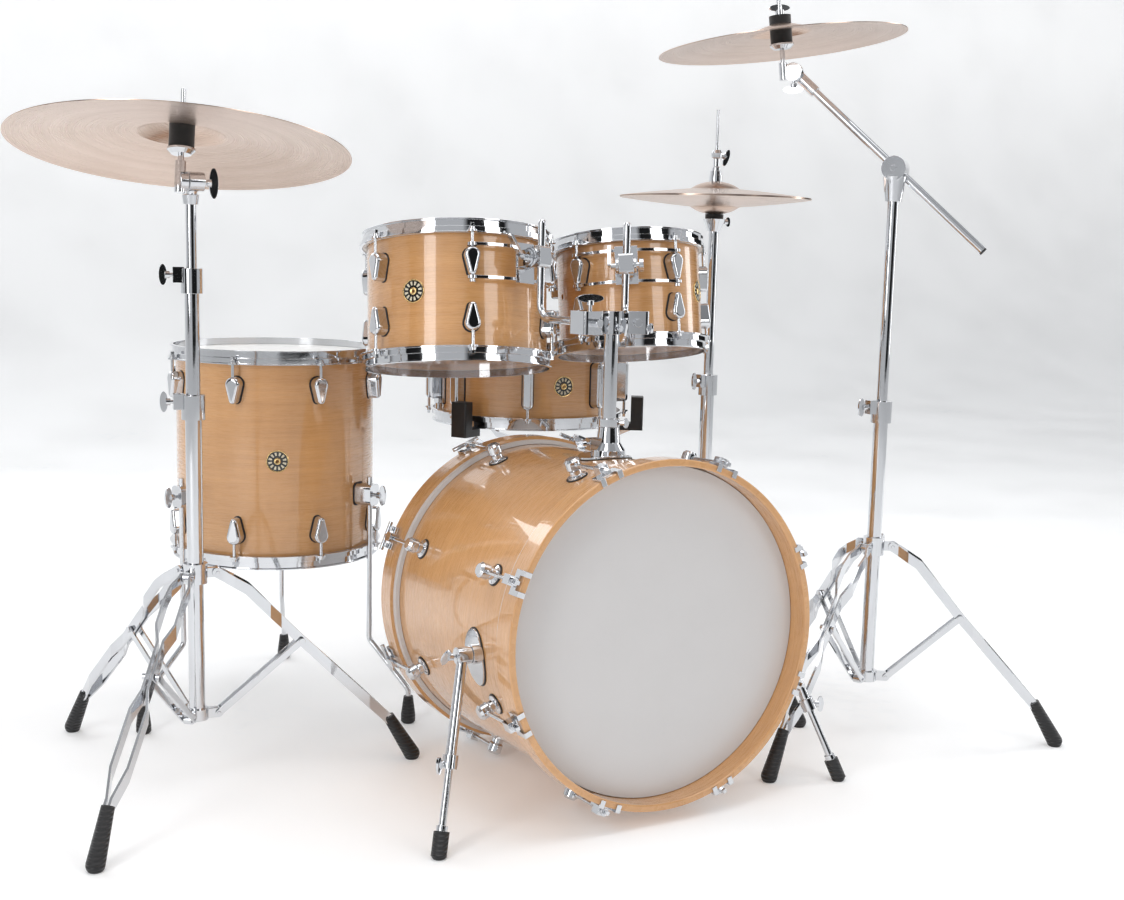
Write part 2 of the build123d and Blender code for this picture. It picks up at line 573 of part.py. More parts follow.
def throw_lever():
    """The lever that lets the snare wires drop, at rest upright against the casting."""
    x, z = THROW_HINGE
    side = chain([(x, z), (x + 1, z + 22), (x - 1.5, z + 50)], 9)
    lever = Rot(90, 0, 0) * extrude(side, 7, both=True)
    lever -= rod((x, -20, z), (x, 20, z), 2.5 + FIT)
    return around(lever, [THROW_ANGLE])


def snare_wires():
    """Twenty wires under the snare-side head, soldered to a plate at each end."""
    level = -SNARE["depth"] / 2 - FILM - 1.3
    reach = SNARE["radius"] - 18
    wires = [rod((-reach, 2.0 * n - 19, level), (reach, 2.0 * n - 19, level), 0.7) for n in range(20)]
    band = Pos(0, 0, level) * Box(14, 42, 1.8)
    plates = Pos(reach + 7, 0, 0) * band + Pos(-reach - 7, 0, 0) * band
    turn = Rot(0, 0, THROW_ANGLE)
    return [turn * piece for piece in wires] + [turn * piece for piece in plates.solids()]


# ---------------------------------------------------------------- stands


def leg_points(spread, height):
    """A leg's pivot, elbow, crossing joint and toe as (radius, height)."""
    return [(33, height), (80, height - 29), (0.475 * spread, 0.647 * height), (spread - 34, 71)]


def tripod_leg(spread, height):
    """A leg along +X: two flat strips that bow apart and meet again, and a rubber foot."""
    pivot, elbow, joint, toe = leg_points(spread, height)
    side = Rot(90, 0, 0) * extrude(chain([pivot, elbow, joint, toe], LEG_DEPTH), 30, both=True)
    x, end = joint[0], toe[0] + 6
    bow = [(pivot[0] - 8, 8), (pivot[0] + 10, 8), (pivot[0] + 28, 15), (x - 52, 15), (x - 33, 4.4), (x + 24, 4.4)]
    bow += [(x + 46, 13), (end - 45, 13), (end - 12, 3.5), (end, 3.5)]
    strip = chain(bow, STRIP)
    plan = extrude(strip + mirror(strip, about=Plane.XZ), height + 60)
    strips = side & plan
    strips += rod((pivot[0], -12, pivot[1]), (pivot[0], 12, pivot[1]), PIN)
    ground = Vector(spread + 4, 0, 9)
    top = Vector(toe[0] - 1, 0, toe[1] + 3)
    way = (top - ground).normalized()
    cone = Plane(origin=ground, z_dir=way) * Cone(RUBBER_FOOT, 9.5, (top - ground).length + 4, align=FROM_BASE)
    foot = cone + Pos(*ground) * Sphere(RUBBER_FOOT)
    foot -= Pos(spread, 0, 0) * Box(120, 120, 60, align=(Align.CENTER, Align.CENTER, Align.MAX))
    return [strips, foot - strips]


def tripod_brace(spread, height, hub):
    """Two straight strips from the hub up to a leg's crossing joint, outside the leg."""
    low, joint = (33, hub), leg_points(spread, height)[2]
    strip = extrude(link(low, joint, BRACE_DEPTH), 1.5, both=True)
    strip = Pos(0, 9.2, 0) * Rot(90, 0, 0) * strip
    rivet = rod((joint[0], 10.7, joint[1]), (joint[0], 13.2, joint[1]), 5)
    one = strip + rivet
    pin = rod((low[0], -12.5, low[1]), (low[0], 12.5, low[1]), PIN)
    return [one + mirror(one, about=Plane.XZ) + pin]


def spider(bore, outer, level, tall, angles, half_width):
    """A collar with three lugs, drilled for the pins of legs or braces."""
    body = ring(bore, outer, level - tall / 2, level + tall / 2)
    lug = extrude(link((bore + 3, level), (33, level), 15), half_width, both=True)
    lug = Rot(90, 0, 0) * lug
    lug -= Cylinder(bore, 4 * level)
    lug -= rod((33, -20, level), (33, 20, level), PIN + FIT)
    for angle in angles:
        body += Rot(0, 0, angle) * lug
    return body


def tripod(spread, height, hub, turn, tube):
    """Collar, hub, legs and braces of a stand's base, about the origin."""
    angles = [turn, turn + 120, turn + 240]
    collar = spider(tube + FIT, tube + 6, height, 32, angles, 5)
    screw = Rot(0, 0, turn + 60) * Pos(tube + 6, 0, height) * wing_screw(12, 34, 13)
    bottom = spider(tube, tube + 5, hub, 18, angles, 6.5)
    legs = [around_all(tripod_leg(spread, height), angle) for angle in angles]
    braces = [around_all(tripod_brace(spread, height, hub), angle) for angle in angles]
    return dict(collar=[collar, screw], hub=[bottom], legs=legs, braces=braces)


def around_all(pieces, angle):
    return [Rot(0, 0, angle) * piece for piece in pieces]


def at(place, pieces):
    return [Pos(place[0], place[1], 0) * piece for piece in pieces]


def height_clamp(lower, upper, middle, turn):
    """The clamp at a tube's top that grips the thinner tube inside it, with its wing screw."""
    outer = lower + 5.5
    inner = upper + FIT
    outline = [(lower, middle - 22), (outer, middle - 22), (outer, middle + 16), (inner, middle + 16)]
    outline += [(inner, middle + 1), (lower, middle + 1)]
    body = turned(outline)
    boss = Pos(lower + 1, 0, middle + 6) * Box(17, 15, 24, align=(Align.MIN, Align.CENTER, Align.CENTER))
    body += boss - Cylinder(lower + 1, 4 * middle)
    screw = Pos(lower + 18, 0, middle + 6) * wing_screw(11, 32, 12)
    return around_all([body, screw], turn)


def tube(low, high, radius, bore=None):
    return ring(bore if bore else radius - TUBE_WALL, radius, low, high)


def cymbal(size):
    """A thin bowed disc with a bell, its edge level with z = 0."""
    radius, rise, bell, dome = size["radius"], size["rise"], size["bell"], size["dome"]
    shoulder = rise - dome
    middle = (radius + bell) / 2
    sheet = CYMBAL_SHEET
    bow = shoulder * 0.56
    cup = (bell * 0.62, rise - dome * 0.28)
    top = ThreePointArc((CYMBAL_HOLE, rise), cup, (bell, shoulder))
    top += ThreePointArc((bell, shoulder), (middle, bow), (radius, 0))
    low = ThreePointArc((CYMBAL_HOLE, rise - sheet), (cup[0], cup[1] - sheet), (bell, shoulder - sheet))
    low += ThreePointArc((bell, shoulder - sheet), (middle, bow - sheet), (radius, -sheet))
    sides = Line((CYMBAL_HOLE, rise), (CYMBAL_HOLE, rise - sheet)) + Line((radius, 0), (radius, -sheet))
    return revolve(Plane.XZ * make_face(top + low + sides), Axis.Z, 360)


def wing_nut(radius):
    """A flat-winged nut about +Z, with its hole cut through."""
    body = Cylinder(8, 9, align=FROM_BASE) + Pos(0, 0, 13) * Rot(90, 0, 0) * extrude(Ellipse(22, 6), 2, both=True)
    return body - Cylinder(radius + FIT, 60)


# Ride stand: the leaning post passes through the cymbal's middle
RIDE_POST_WAY = Vector(*RIDE_LEAN, 1).normalized()
RIDE_PIVOT = Vector(RIDE_AT[0] - 8, RIDE_AT[1] - 12, 946)
RIDE_CENTRE = RIDE_PIVOT + RIDE_POST_WAY * ((RIDE_CYMBAL_Z - RIDE_PIVOT.Z) / RIDE_POST_WAY.Z)
RIDE_FRAME = Plane(origin=RIDE_CENTRE, x_dir=(1, 0, 0), z_dir=RIDE_POST_WAY)
STAND_HEIGHT = 341.0
STAND_HUB = 112.0
RIDE_LOW_TOP = 606.0
RIDE_MIDDLE_TOP = 800.0


def ride_top():
    """The ride stand's thin tube, its ratchet half and the wing that locks it."""
    x, y, z = RIDE_PIVOT
    pole = Pos(RIDE_AT[0], RIDE_AT[1], 0) * tube(640, 916, TOP_TUBE)
    cap = Pos(RIDE_AT[0], RIDE_AT[1], 0) * (turned([(0, 912), (11, 912), (13, 926), (0, 930)]))
    cap -= pole
    neck = rod((RIDE_AT[0], RIDE_AT[1], 924), (RIDE_AT[0] + 4, y, z), 8)
    half = rod((x + 1, y, z), (x + 24, y, z), 14.5)
    half -= rod((x - 1, y, z), (x + 60, y, z), 4 + FIT)
    neck -= rod((x - 20, y, z), (x + 60, y, z), 14)
    neck -= rod((RIDE_AT[0], RIDE_AT[1], 900), (RIDE_AT[0], RIDE_AT[1], 925), 13.5)
    wing = Pos(x + 25, y, z - 2) * wing_screw(11, 46, 14)
    return [pole, cap + half + neck, wing - half]


def cymbal_tilter(pivot, way, side, tip):
    """The turning half of a ratchet: a disc on its pin, the clamp beside it and the cymbal post."""
    foot = pivot + side * -11
    disc = rod(pivot - side * 1.0, pivot - side * 12, 14.5)
    pin = rod(pivot, pivot + side * 20, 4)
    column = rod(foot - way * 18, foot + way * 30, 8)
    shoulder = foot + way * (tip - THREAD_LENGTH)
    post = rod(foot + way * 24, shoulder, POST_TIP)
    post += rod(shoulder, foot + way * tip, POST_THREAD)
    return disc + pin + column + post, foot


def sleeve_and_cup(frame):
    """The rubber cup under a cymbal and the sleeve on the post that the cymbal hangs on."""
    cup = turned([(POST_TIP, -8), (15, -8), (21, -2), (21, 1), (POST_TIP, 1)])
    sleeve = ring(POST_TIP, 5.6, 1, 46)
    return [frame * cup, frame * sleeve]


def felts(frame, size, top_felt):
    """The felt washers that the bell rests between."""
    low = size["rise"] - CYMBAL_SHEET
    under = ring(5.7, FELT_RADIUS, 1.1, low - 1.4)
    pieces = [frame * under]
    if top_felt:
        pieces.append(frame * ring(5.7, FELT_RADIUS, size["rise"] + 0.6, size["rise"] + 15))
    return pieces


# Boom stand
BOOM_PIVOT = Vector(BOOM_AT[0], BOOM_AT[1], BOOM_PIVOT_Z)
CRASH_TILT = Vector(*CRASH_PIVOT)
BOOM_WAY = (CRASH_TILT - BOOM_PIVOT).normalized()
BOOM_SIDE = Vector(0, 0, 1).cross(BOOM_WAY).normalized() * -1
BOOM_FLAT = Vector(BOOM_WAY.X, BOOM_WAY.Y, 0).normalized()
CRASH_WAY = Vector(*CRASH_LEAN, 1).normalized()
CRASH_FOOT = CRASH_TILT + BOOM_FLAT * 17
CRASH_FRAME = Plane(origin=CRASH_FOOT + CRASH_WAY * 47, x_dir=(1, 0, 0), z_dir=CRASH_WAY)
BOOM_LOW_TOP = 590.0
BOOM_MIDDLE_TOP = 792.0
BOOM_SET_OUT = 14.0  # the boom runs beside the ratchet's middle


def boom_mast():
    """The boom stand's sliding tube with the fixed half of the boom ratchet on top."""
    base = Pos(*BOOM_AT, 0) * tube(480, BOOM_PIVOT_Z - 44, TOP_TUBE + 1.5)
    casting = Pos(*BOOM_AT, 0) * turned([(0, BOOM_PIVOT_Z - 56), (14, BOOM_PIVOT_Z - 56), (20, BOOM_PIVOT_Z - 14), (0, BOOM_PIVOT_Z - 14)])
    casting += rod(BOOM_PIVOT - BOOM_SIDE * 2, BOOM_PIVOT - BOOM_SIDE * 18, 21)
    casting -= rod(BOOM_PIVOT - BOOM_SIDE * 1.6, BOOM_PIVOT + BOOM_SIDE * 40, 26)
    casting -= rod(BOOM_PIVOT + BOOM_SIDE * 5, BOOM_PIVOT + BOOM_SIDE * 40, 44)
    casting -= base
    casting -= rod(BOOM_PIVOT + BOOM_SIDE * 10, BOOM_PIVOT - BOOM_SIDE * 40, 5 + FIT)
    return [base, casting]


def boom_arm():
    """The boom: a tube through the turning half of the ratchet, a plug in its tail, its wings."""
    line = BOOM_PIVOT + BOOM_SIDE * BOOM_SET_OUT
    head_end = line + BOOM_WAY * 218
    tail = line - BOOM_WAY * BOOM_TAIL
    pipe = rod(tail, head_end, BOOM_TUBE) - rod(tail - BOOM_WAY, head_end + BOOM_WAY, BOOM_TUBE - 1.3)
    plug = rod(tail - BOOM_WAY * 3, tail, BOOM_TUBE) + rod(tail, tail + BOOM_WAY * 12, BOOM_TUBE - 1.3)
    disc = rod(BOOM_PIVOT - BOOM_SIDE * 1.3, BOOM_PIVOT + BOOM_SIDE * 25, 21)
    disc -= rod(tail, head_end, BOOM_TUBE)
    pin = rod(BOOM_PIVOT - BOOM_SIDE * 1.3, BOOM_PIVOT - BOOM_SIDE * 20, 5)
    wing = Plane(origin=BOOM_PIVOT + BOOM_SIDE * 25, x_dir=BOOM_SIDE, z_dir=BOOM_WAY)
    screw = wing * wing_screw(11, 48, 15)
    return [pipe, plug, disc + pin, screw]


def crash_fork():
    """The socket at the boom's head with its half of the crash tilter."""
    line = BOOM_PIVOT + BOOM_SIDE * BOOM_SET_OUT
    head_end = line + BOOM_WAY * 218
    socket = rod(head_end - BOOM_WAY * 20, head_end + BOOM_WAY * 26, BOOM_TUBE + 3)
    near = CRASH_TILT + BOOM_SIDE * 9
    socket -= rod(CRASH_TILT - BOOM_SIDE * 10, near, 18)
    socket += rod(near, near + BOOM_SIDE * 11, 14.5)
    socket -= rod(head_end - BOOM_WAY * 40, head_end, BOOM_TUBE)
    socket -= rod(CRASH_TILT - BOOM_SIDE * 10, near + BOOM_SIDE * 20, 4 + FIT)
    return [socket]


def crash_tilter():
    """The crash cymbal's turning disc, the rod clamp at its edge, the post, cup and sleeve."""
    near = CRASH_TILT + BOOM_SIDE * 8.4
    disc = rod(near, near - BOOM_SIDE * 13, 15.5)
    pin = rod(near - BOOM_SIDE * 3, near + BOOM_SIDE * 11.5, 4)
    column = rod(CRASH_FOOT - CRASH_WAY * 14, CRASH_FOOT + CRASH_WAY * 16, 8)
    post = rod(CRASH_FOOT + CRASH_WAY * 10, CRASH_FOOT + CRASH_WAY * 124, POST_TIP)
    wing = Plane(origin=CRASH_TILT - CRASH_WAY * 15, x_dir=-CRASH_WAY, z_dir=BOOM_FLAT) * wing_screw(12, 36, 13)
    nut = CRASH_FRAME * Pos(0, 0, CRASH["rise"] + 15.3) * wing_nut(POST_TIP)
    body = disc + pin + column + post
    return [body, wing - disc, nut] + sleeve_and_cup(CRASH_FRAME)


# ---------------------------------------------------------------- hi-hat

ROD_TIP = 1118.0
HAT_PLAY = 0.6  # between the two edges when the hats are closed
TOP_HAT_Z = HAT_EDGE_Z + 2 * CYMBAL_SHEET + HAT_PLAY
SEAT_Z = HAT_EDGE_Z - HAT["rise"]
HAT_ROD = 3.0
PEDAL_TURN = 86.0
PEDAL_HEEL = (262.0, 20.0)


def hihat_stand():
    """The hi-hat stand: tripod, both tubes, frame plate, seat cup and its felt."""
    base = tripod(HIHAT_SPREAD, 262.0, 92.0, HIHAT_TURN, LOW_TUBE)
    lower = tube(60, 610, LOW_TUBE)
    upper = tube(540, SEAT_Z - 24, MIDDLE_TUBE - 2)
    clamp = height_clamp(LOW_TUBE, MIDDLE_TUBE - 2 - FIT, 612, 200)
    cup = turned([(HAT_ROD + 2, SEAT_Z - 32), (12, SEAT_Z - 32), (20, SEAT_Z - 12), (21, SEAT_Z - 9), (HAT_ROD + 2, SEAT_Z - 9)])
    cup -= upper
    tilt = Pos(20, 0, SEAT_Z - 14) * wing_screw(9, 18, 10, 2.4)
    seat = ring(HAT_ROD + 2, 17, SEAT_Z - 8.8, SEAT_Z - 0.3)
    foot = Rot(0, 0, PEDAL_TURN) * Pos(40, 0, 24) * Box(110, 34, 8)
    foot += ring(LOW_TUBE - 1, LOW_TUBE + 5, 20, 60)
    foot += Rot(0, 0, PEDAL_TURN) * Pos(PEDAL_HEEL[0] / 2 + 24, 0, 4) * Box(PEDAL_HEEL[0], 12, 5)
    heel = Rot(0, 0, PEDAL_TURN) * Pos(PEDAL_HEEL[0] + 30, 0, 1.5) * Box(76, 84, 5, align=FROM_BASE)
    hinge = Rot(0, 0, PEDAL_TURN) * rod((PEDAL_HEEL[0], -40, PEDAL_HEEL[1]), (PEDAL_HEEL[0], 40, PEDAL_HEEL[1]), 4)
    post = Rot(0, 0, PEDAL_TURN) * Pos(PEDAL_HEEL[0], 0, 6) * Box(10, 10, 14, align=FROM_BASE)
    floor_frame = foot + heel + hinge + post
    pieces = [floor_frame, lower, upper, cup, tilt - cup, seat] + clamp + base["collar"] + base["hub"]
    for group in base["legs"] + base["braces"]:
        pieces += group
    return at(HIHAT_AT, pieces)


def hihat_rod():
    """The pull rod with the clutch that carries the top cymbal."""
    bar = Cylinder(HAT_ROD, ROD_TIP - 70, align=FROM_BASE)
    bell = TOP_HAT_Z + HAT["rise"]
    clutch = turned([(HAT_ROD, bell + 20), (8, bell + 20), (8, bell + 26), (5.6, bell + 28), (5.6, bell + 42), (9.5, bell + 44), (10.5, bell + 52), (7, bell + 58), (HAT_ROD, bell + 58)])
    stem = ring(HAT_ROD, 5.2, bell - 12, bell + 20)
    felt = ring(5.2, 12, bell + 0.3, bell + 12)
    nut = ring(5.2, 11, bell + 12.3, bell + 19.8)
    wing = Pos(9.5, 0, bell + 49) * Rot(0, 20, 0) * wing_screw(10, 32, 12, 2.4)
    return at(HIHAT_AT, [Pos(0, 0, 70) * bar, clutch + stem, felt, nut, wing - clutch])


def top_hat():
    return at(HIHAT_AT, [Pos(0, 0, TOP_HAT_Z) * cymbal(HAT)])


def bottom_hat():
    """The lower cymbal, upside down, resting on the seat felt."""
    return at(HIHAT_AT, [Pos(0, 0, HAT_EDGE_Z) * mirror(cymbal(HAT), about=Plane.XY)])


def hihat_pedal():
    """The footboard, hinged at the heel, closed under the rod."""
    toe, heel = (34, 52), PEDAL_HEEL
    board = extrude(link(toe, heel, 6), 36, both=True)
    board = Rot(90, 0, 0) * board
    board += rod((heel[0], -34, heel[1]), (heel[0], 34, heel[1]), 7)
    board -= rod((heel[0], -60, heel[1]), (heel[0], 60, heel[1]), 4 + FIT)
    board -= Pos(heel[0], 0, 10) * Box(20, 14, 60)
    return at(HIHAT_AT, [Rot(0, 0, PEDAL_TURN) * board])


# ---------------------------------------------------------------- snare stand

BASKET_ANGLES = (-151.0, -31.0, 89.0)
BASKET_HUB = 468.0


def snare_base():
    """The snare stand's tripod, fixed tube and clamp."""
    base = tripod(SNARE_STAND_SPREAD, 190.0, 80.0, SNARE_STAND_TURN, LOW_TUBE)
    pieces = [tube(71, 350, LOW_TUBE)] + height_clamp(LOW_TUBE, MIDDLE_TUBE, 352, 90) + base["collar"] + base["hub"]
    for group in base["legs"] + base["braces"]:
        pieces += group
    return at(SNARE_AT, pieces)


def snare_basket():
    """The sliding tube, the basket's hub and its three arms with rubber ends."""
    rim = SNARE_FRAME.origin.Z - SNARE["depth"] / 2 - 13.0
    grip = SNARE["radius"] + 34
    tube_piece = tube(280, BASKET_HUB - 6, MIDDLE_TUBE)
    hub = turned([(0, BASKET_HUB - 6), (20, BASKET_HUB - 6), (26, BASKET_HUB), (26, BASKET_HUB + 10), (0, BASKET_HUB + 10)])
    side = chain([(20, BASKET_HUB + 2), (130, BASKET_HUB + 6), (grip - 4, rim - 10)], 11)
    arm = Rot(90, 0, 0) * extrude(side, 4, both=True) - ring(0.1, 24, BASKET_HUB - 20, BASKET_HUB + 40)
    rubber = Pos(grip - 4, 0, rim - 14) * Box(24, 34, 66, align=(Align.MIN, Align.CENTER, Align.MIN))
    rubber += Pos(grip - 30, 0, rim - 14) * Box(30, 34, 13.5, align=(Align.MIN, Align.CENTER, Align.MIN))
    rubber = fillet(rubber.edges().filter_by(Axis.Z), 3) - arm
    knob = Pos(0, 0, BASKET_HUB - 20) * turned([(MIDDLE_TUBE, 0), (19, 0), (19, 13), (MIDDLE_TUBE, 13)])
    pieces = [tube_piece, hub, knob] + around(arm - hub, BASKET_ANGLES) + around(rubber, BASKET_ANGLES)
    return at(SNARE_AT, pieces)


# ---------------------------------------------------------------- the kit


def ride_parts(nodes):
    base = tripod(RIDE_SPREAD, STAND_HEIGHT, STAND_HUB, RIDE_TURN, LOW_TUBE)
    pole = [tube(STAND_HUB - 9, RIDE_LOW_TOP, LOW_TUBE)]
    nodes["ride_pole"] = at(RIDE_AT, pole + height_clamp(LOW_TUBE, MIDDLE_TUBE, RIDE_LOW_TOP, 172) + base["hub"])
    nodes["ride_collar"] = at(RIDE_AT, base["collar"])
    for number in range(3):
        nodes[f"ride_leg_{number + 1}"] = at(RIDE_AT, base["legs"][number])
        nodes[f"ride_brace_{number + 1}"] = at(RIDE_AT, base["braces"][number])
    middle = [tube(400, RIDE_MIDDLE_TOP, MIDDLE_TUBE)]
    nodes["ride_middle_tube"] = at(RIDE_AT, middle + height_clamp(MIDDLE_TUBE, TOP_TUBE, RIDE_MIDDLE_TOP, 172))
    nodes["ride_top_tube"] = ride_top()
    side = Vector(1, 0, 0)
    body, foot = cymbal_tilter(RIDE_PIVOT, RIDE_POST_WAY, side, 140)
    frame = Plane(origin=foot + RIDE_POST_WAY * 48, x_dir=(1, 0, 0), z_dir=RIDE_POST_WAY)
    nodes["ride_tilter"] = [body] + sleeve_and_cup(frame)
    nodes["ride_felts"] = felts(frame, RIDE, False)
    nodes["ride_cymbal"] = [frame * cymbal(RIDE)]


def boom_parts(nodes):
    base = tripod(BOOM_SPREAD, STAND_HEIGHT + 6, STAND_HUB - 4, BOOM_TURN, LOW_TUBE)
    pieces = [tube(STAND_HUB - 13, BOOM_LOW_TOP, LOW_TUBE)]
    pieces += height_clamp(LOW_TUBE, TOP_TUBE + 1.5, BOOM_LOW_TOP, 178) + base["collar"] + base["hub"]
    for group in base["legs"] + base["braces"]:
        pieces += group
    nodes["boom_stand"] = at(BOOM_AT, pieces)
    nodes["boom_mast"] = boom_mast()
    nodes["boom_arm"] = boom_arm() + crash_fork()
    nodes["crash_tilter"] = crash_tilter()
    nodes["crash_felts"] = felts(CRASH_FRAME, CRASH, True)
    nodes["crash_cymbal"] = [CRASH_FRAME * cymbal(CRASH)]


def drum_parts(nodes, name, drum, frame, vent, lugs):
    nodes[f"{name}_shell"] = [frame * piece for piece in shell(drum, vent)]
    nodes[f"{name}_heads"] = [frame * piece for piece in heads(drum)]
    nodes[f"{name}_hoops"] = [frame * piece for piece in steel_hoops(drum)]
    nodes[f"{name}_lugs"] = [frame * piece for piece in lugs]


def kick_parts(nodes):
    post_hole = Pos(0, MOUNT_Y, POST_LOW) * Cylinder(POST_RADIUS + 2, 80)
    nodes["kick_shell"] = [KICK_FRAME * piece - post_hole for piece in shell(KICK)]
    for name, piece in (("heads", kick_head()), ("hoops", kick_hoop())):
        nodes[f"kick_{name}"] = [KICK_FRAME * half for half in (piece, mirror(piece, about=Plane.XY))]
    front = around(kick_lug(), lug_angles(KICK))
    nodes["kick_lugs"] = [KICK_FRAME * piece for piece in front + upside_down(front)]
    claws = around(kick_claw(), lug_angles(KICK))
    rods = around(kick_rod(False), lug_angles(KICK)) + upside_down(around(kick_rod(True), lug_angles(KICK)))
    nodes["kick_claws"] = [KICK_FRAME * piece for piece in claws + upside_down(claws) + rods]
    bracket = spur_bracket()
    nodes["kick_fittings"] = mount_receiver() + [bracket, mirror(bracket, about=Plane.YZ)]
    for name, side in (("left", -1), ("right", 1)):
        nodes[f"{name}_spur"] = [spur_side(piece, side) for piece in spur()]
        nodes[f"{name}_spur_leg"] = [spur_side(piece, side) for piece in spur_leg()]


def kit():
    nodes = {}
    kick_parts(nodes)
    nodes["tom_mount_post"] = mount_post()
    for name, drum, frame, angle, socket, corner in (
        ("tom12", TOM12, TOM12_FRAME, TOM12_BRACKET, TOM12_SOCKET, TOM12_CORNER),
        ("tom10", TOM10, TOM10_FRAME, TOM10_BRACKET, TOM10_SOCKET, TOM10_CORNER),
    ):
        nodes[f"{name}_arm"] = tom_arm(drum, frame, angle, socket, corner)
        nodes[f"{name}_bracket"] = [frame * piece for piece in suspension_bracket(drum, angle)]
        drum_parts(nodes, name, drum, frame, angle - 66, lugs_and_rods(drum))
    drum_parts(nodes, "floor_tom", FLOOR, FLOOR_FRAME, -107.3, lugs_and_rods(FLOOR) + floor_brackets())
    nodes["floor_tom_legs"] = floor_legs()
    drum_parts(nodes, "snare", SNARE, SNARE_FRAME, -95, snare_lugs(SNARE) + snare_strainer())
    nodes["snare_wires"] = [SNARE_FRAME * piece for piece in snare_wires()]
    nodes["throw_off_lever"] = [SNARE_FRAME * piece for piece in throw_lever()]
    nodes["snare_stand"] = snare_base()
    nodes["snare_basket"] = snare_basket()
    nodes["hihat_stand"] = hihat_stand()
    nodes["hihat_rod"] = hihat_rod()
    nodes["hihat_top_cymbal"] = top_hat()
    nodes["hihat_bottom_cymbal"] = bottom_hat()
    nodes["hihat_pedal"] = hihat_pedal()
    ride_parts(nodes)
    boom_parts(nodes)
    return nodes


def separate(pieces):
    """Every solid of a node, on its own."""
    return [solid for piece in pieces for solid in piece.solids()]


NODES = {name: separate(pieces) for name, pieces in kit().items()}
BOX = Compound([solid for solids in NODES.values() for solid in solids]).bounding_box()
SHIFT = Vector(-(BOX.min.X + BOX.max.X) / 2, -(BOX.min.Y + BOX.max.Y) / 2, -BOX.min.Z)

for node_name, node_solids in NODES.items():
    export_step(Pos(*SHIFT) * Compound(node_solids), f"parts/{node_name}.step")

print(f"{len(NODES)} nodes, {sum(len(s) for s in NODES.values())} solids, shift {SHIFT}")
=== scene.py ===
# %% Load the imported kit
import math

import bpy
from mathutils import Matrix, Vector


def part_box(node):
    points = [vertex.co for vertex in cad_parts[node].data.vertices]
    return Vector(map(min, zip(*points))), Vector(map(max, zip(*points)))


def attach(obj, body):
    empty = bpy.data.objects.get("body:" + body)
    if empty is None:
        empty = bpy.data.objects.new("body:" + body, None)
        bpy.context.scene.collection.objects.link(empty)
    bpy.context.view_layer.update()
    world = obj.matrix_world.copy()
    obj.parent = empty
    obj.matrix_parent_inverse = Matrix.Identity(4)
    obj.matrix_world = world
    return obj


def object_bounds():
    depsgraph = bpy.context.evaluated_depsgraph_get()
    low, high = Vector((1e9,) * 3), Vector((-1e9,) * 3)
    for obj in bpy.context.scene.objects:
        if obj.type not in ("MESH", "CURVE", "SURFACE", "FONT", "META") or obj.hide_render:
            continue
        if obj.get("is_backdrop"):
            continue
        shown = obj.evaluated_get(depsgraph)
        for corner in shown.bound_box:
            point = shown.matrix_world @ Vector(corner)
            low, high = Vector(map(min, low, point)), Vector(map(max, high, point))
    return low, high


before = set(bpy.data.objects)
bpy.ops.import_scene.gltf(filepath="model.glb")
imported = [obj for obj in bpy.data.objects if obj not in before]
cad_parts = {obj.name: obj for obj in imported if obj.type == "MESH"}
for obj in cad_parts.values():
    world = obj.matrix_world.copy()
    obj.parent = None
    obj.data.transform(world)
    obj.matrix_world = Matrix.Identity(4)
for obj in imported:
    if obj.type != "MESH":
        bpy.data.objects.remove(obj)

cad_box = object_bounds()
print("CAD box", [[round(v, 3) for v in corner] for corner in cad_box])

# %% [markdown]
# # An acoustic drum kit
# The shapes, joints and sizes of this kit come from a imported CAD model, and nothing here moves them.
# What a drum maker adds last is done in this lesson: the lacquered maple, the plating, the turned
# bronze, the felts and rubber, the badges and the gaskets under the lugs.

kick_low, kick_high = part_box("kick_shell")
KIT = Vector(((kick_low.x + kick_high.x) / 2, (kick_low.y + kick_high.y) / 2, 0))
MM = 0.001


def place(x, y, z):
    """A point given in millimetres from the floor under the kick drum's middle."""
    return KIT + Vector((x, y, z)) * MM


print("kick drum's middle on the floor", [round(v, 4) for v in KIT])

# %% [markdown]
# ## The camera
# A small shift does the framing, and there is no depth of field, so every stand stays sharp.

# %% Camera
CAMERA_YAW, CAMERA_PITCH, CAMERA_ROLL = -28.92, 8.49, 1.35
CAMERA_LENS, SENSOR_WIDTH = 46.96, 36.0


def camera_axes(yaw, pitch, roll):
    """Right, up and back directions of a camera turned by these angles, in degrees."""
    yaw, pitch, roll = (math.radians(angle) for angle in (yaw, pitch, roll))
    back = Vector((math.sin(yaw) * math.cos(pitch), -math.cos(yaw) * math.cos(pitch), math.sin(pitch)))
    right = Vector((math.cos(yaw), math.sin(yaw), 0))
    up = back.cross(right)
    return (
        right * math.cos(roll) + up * math.sin(roll),
        up * math.cos(roll) - right * math.sin(roll),
        back,
    )


camera_data = bpy.data.cameras.new("camera")
camera_data.lens, camera_data.sensor_width = CAMERA_LENS, SENSOR_WIDTH
camera_data.shift_x, camera_data.shift_y = 0.0077, 0.0136
camera_data.clip_end = 60
camera = bpy.data.objects.new("camera", camera_data)
bpy.context.scene.collection.objects.link(camera)
axes = camera_axes(CAMERA_YAW, CAMERA_PITCH, CAMERA_ROLL)
camera.matrix_world = Matrix.Translation(place(-1185.2, -2015.7, 861.9)) @ Matrix(axes).transposed().to_4x4()
bpy.context.scene.camera = camera
print("camera at", [round(v, 3) for v in camera.location])
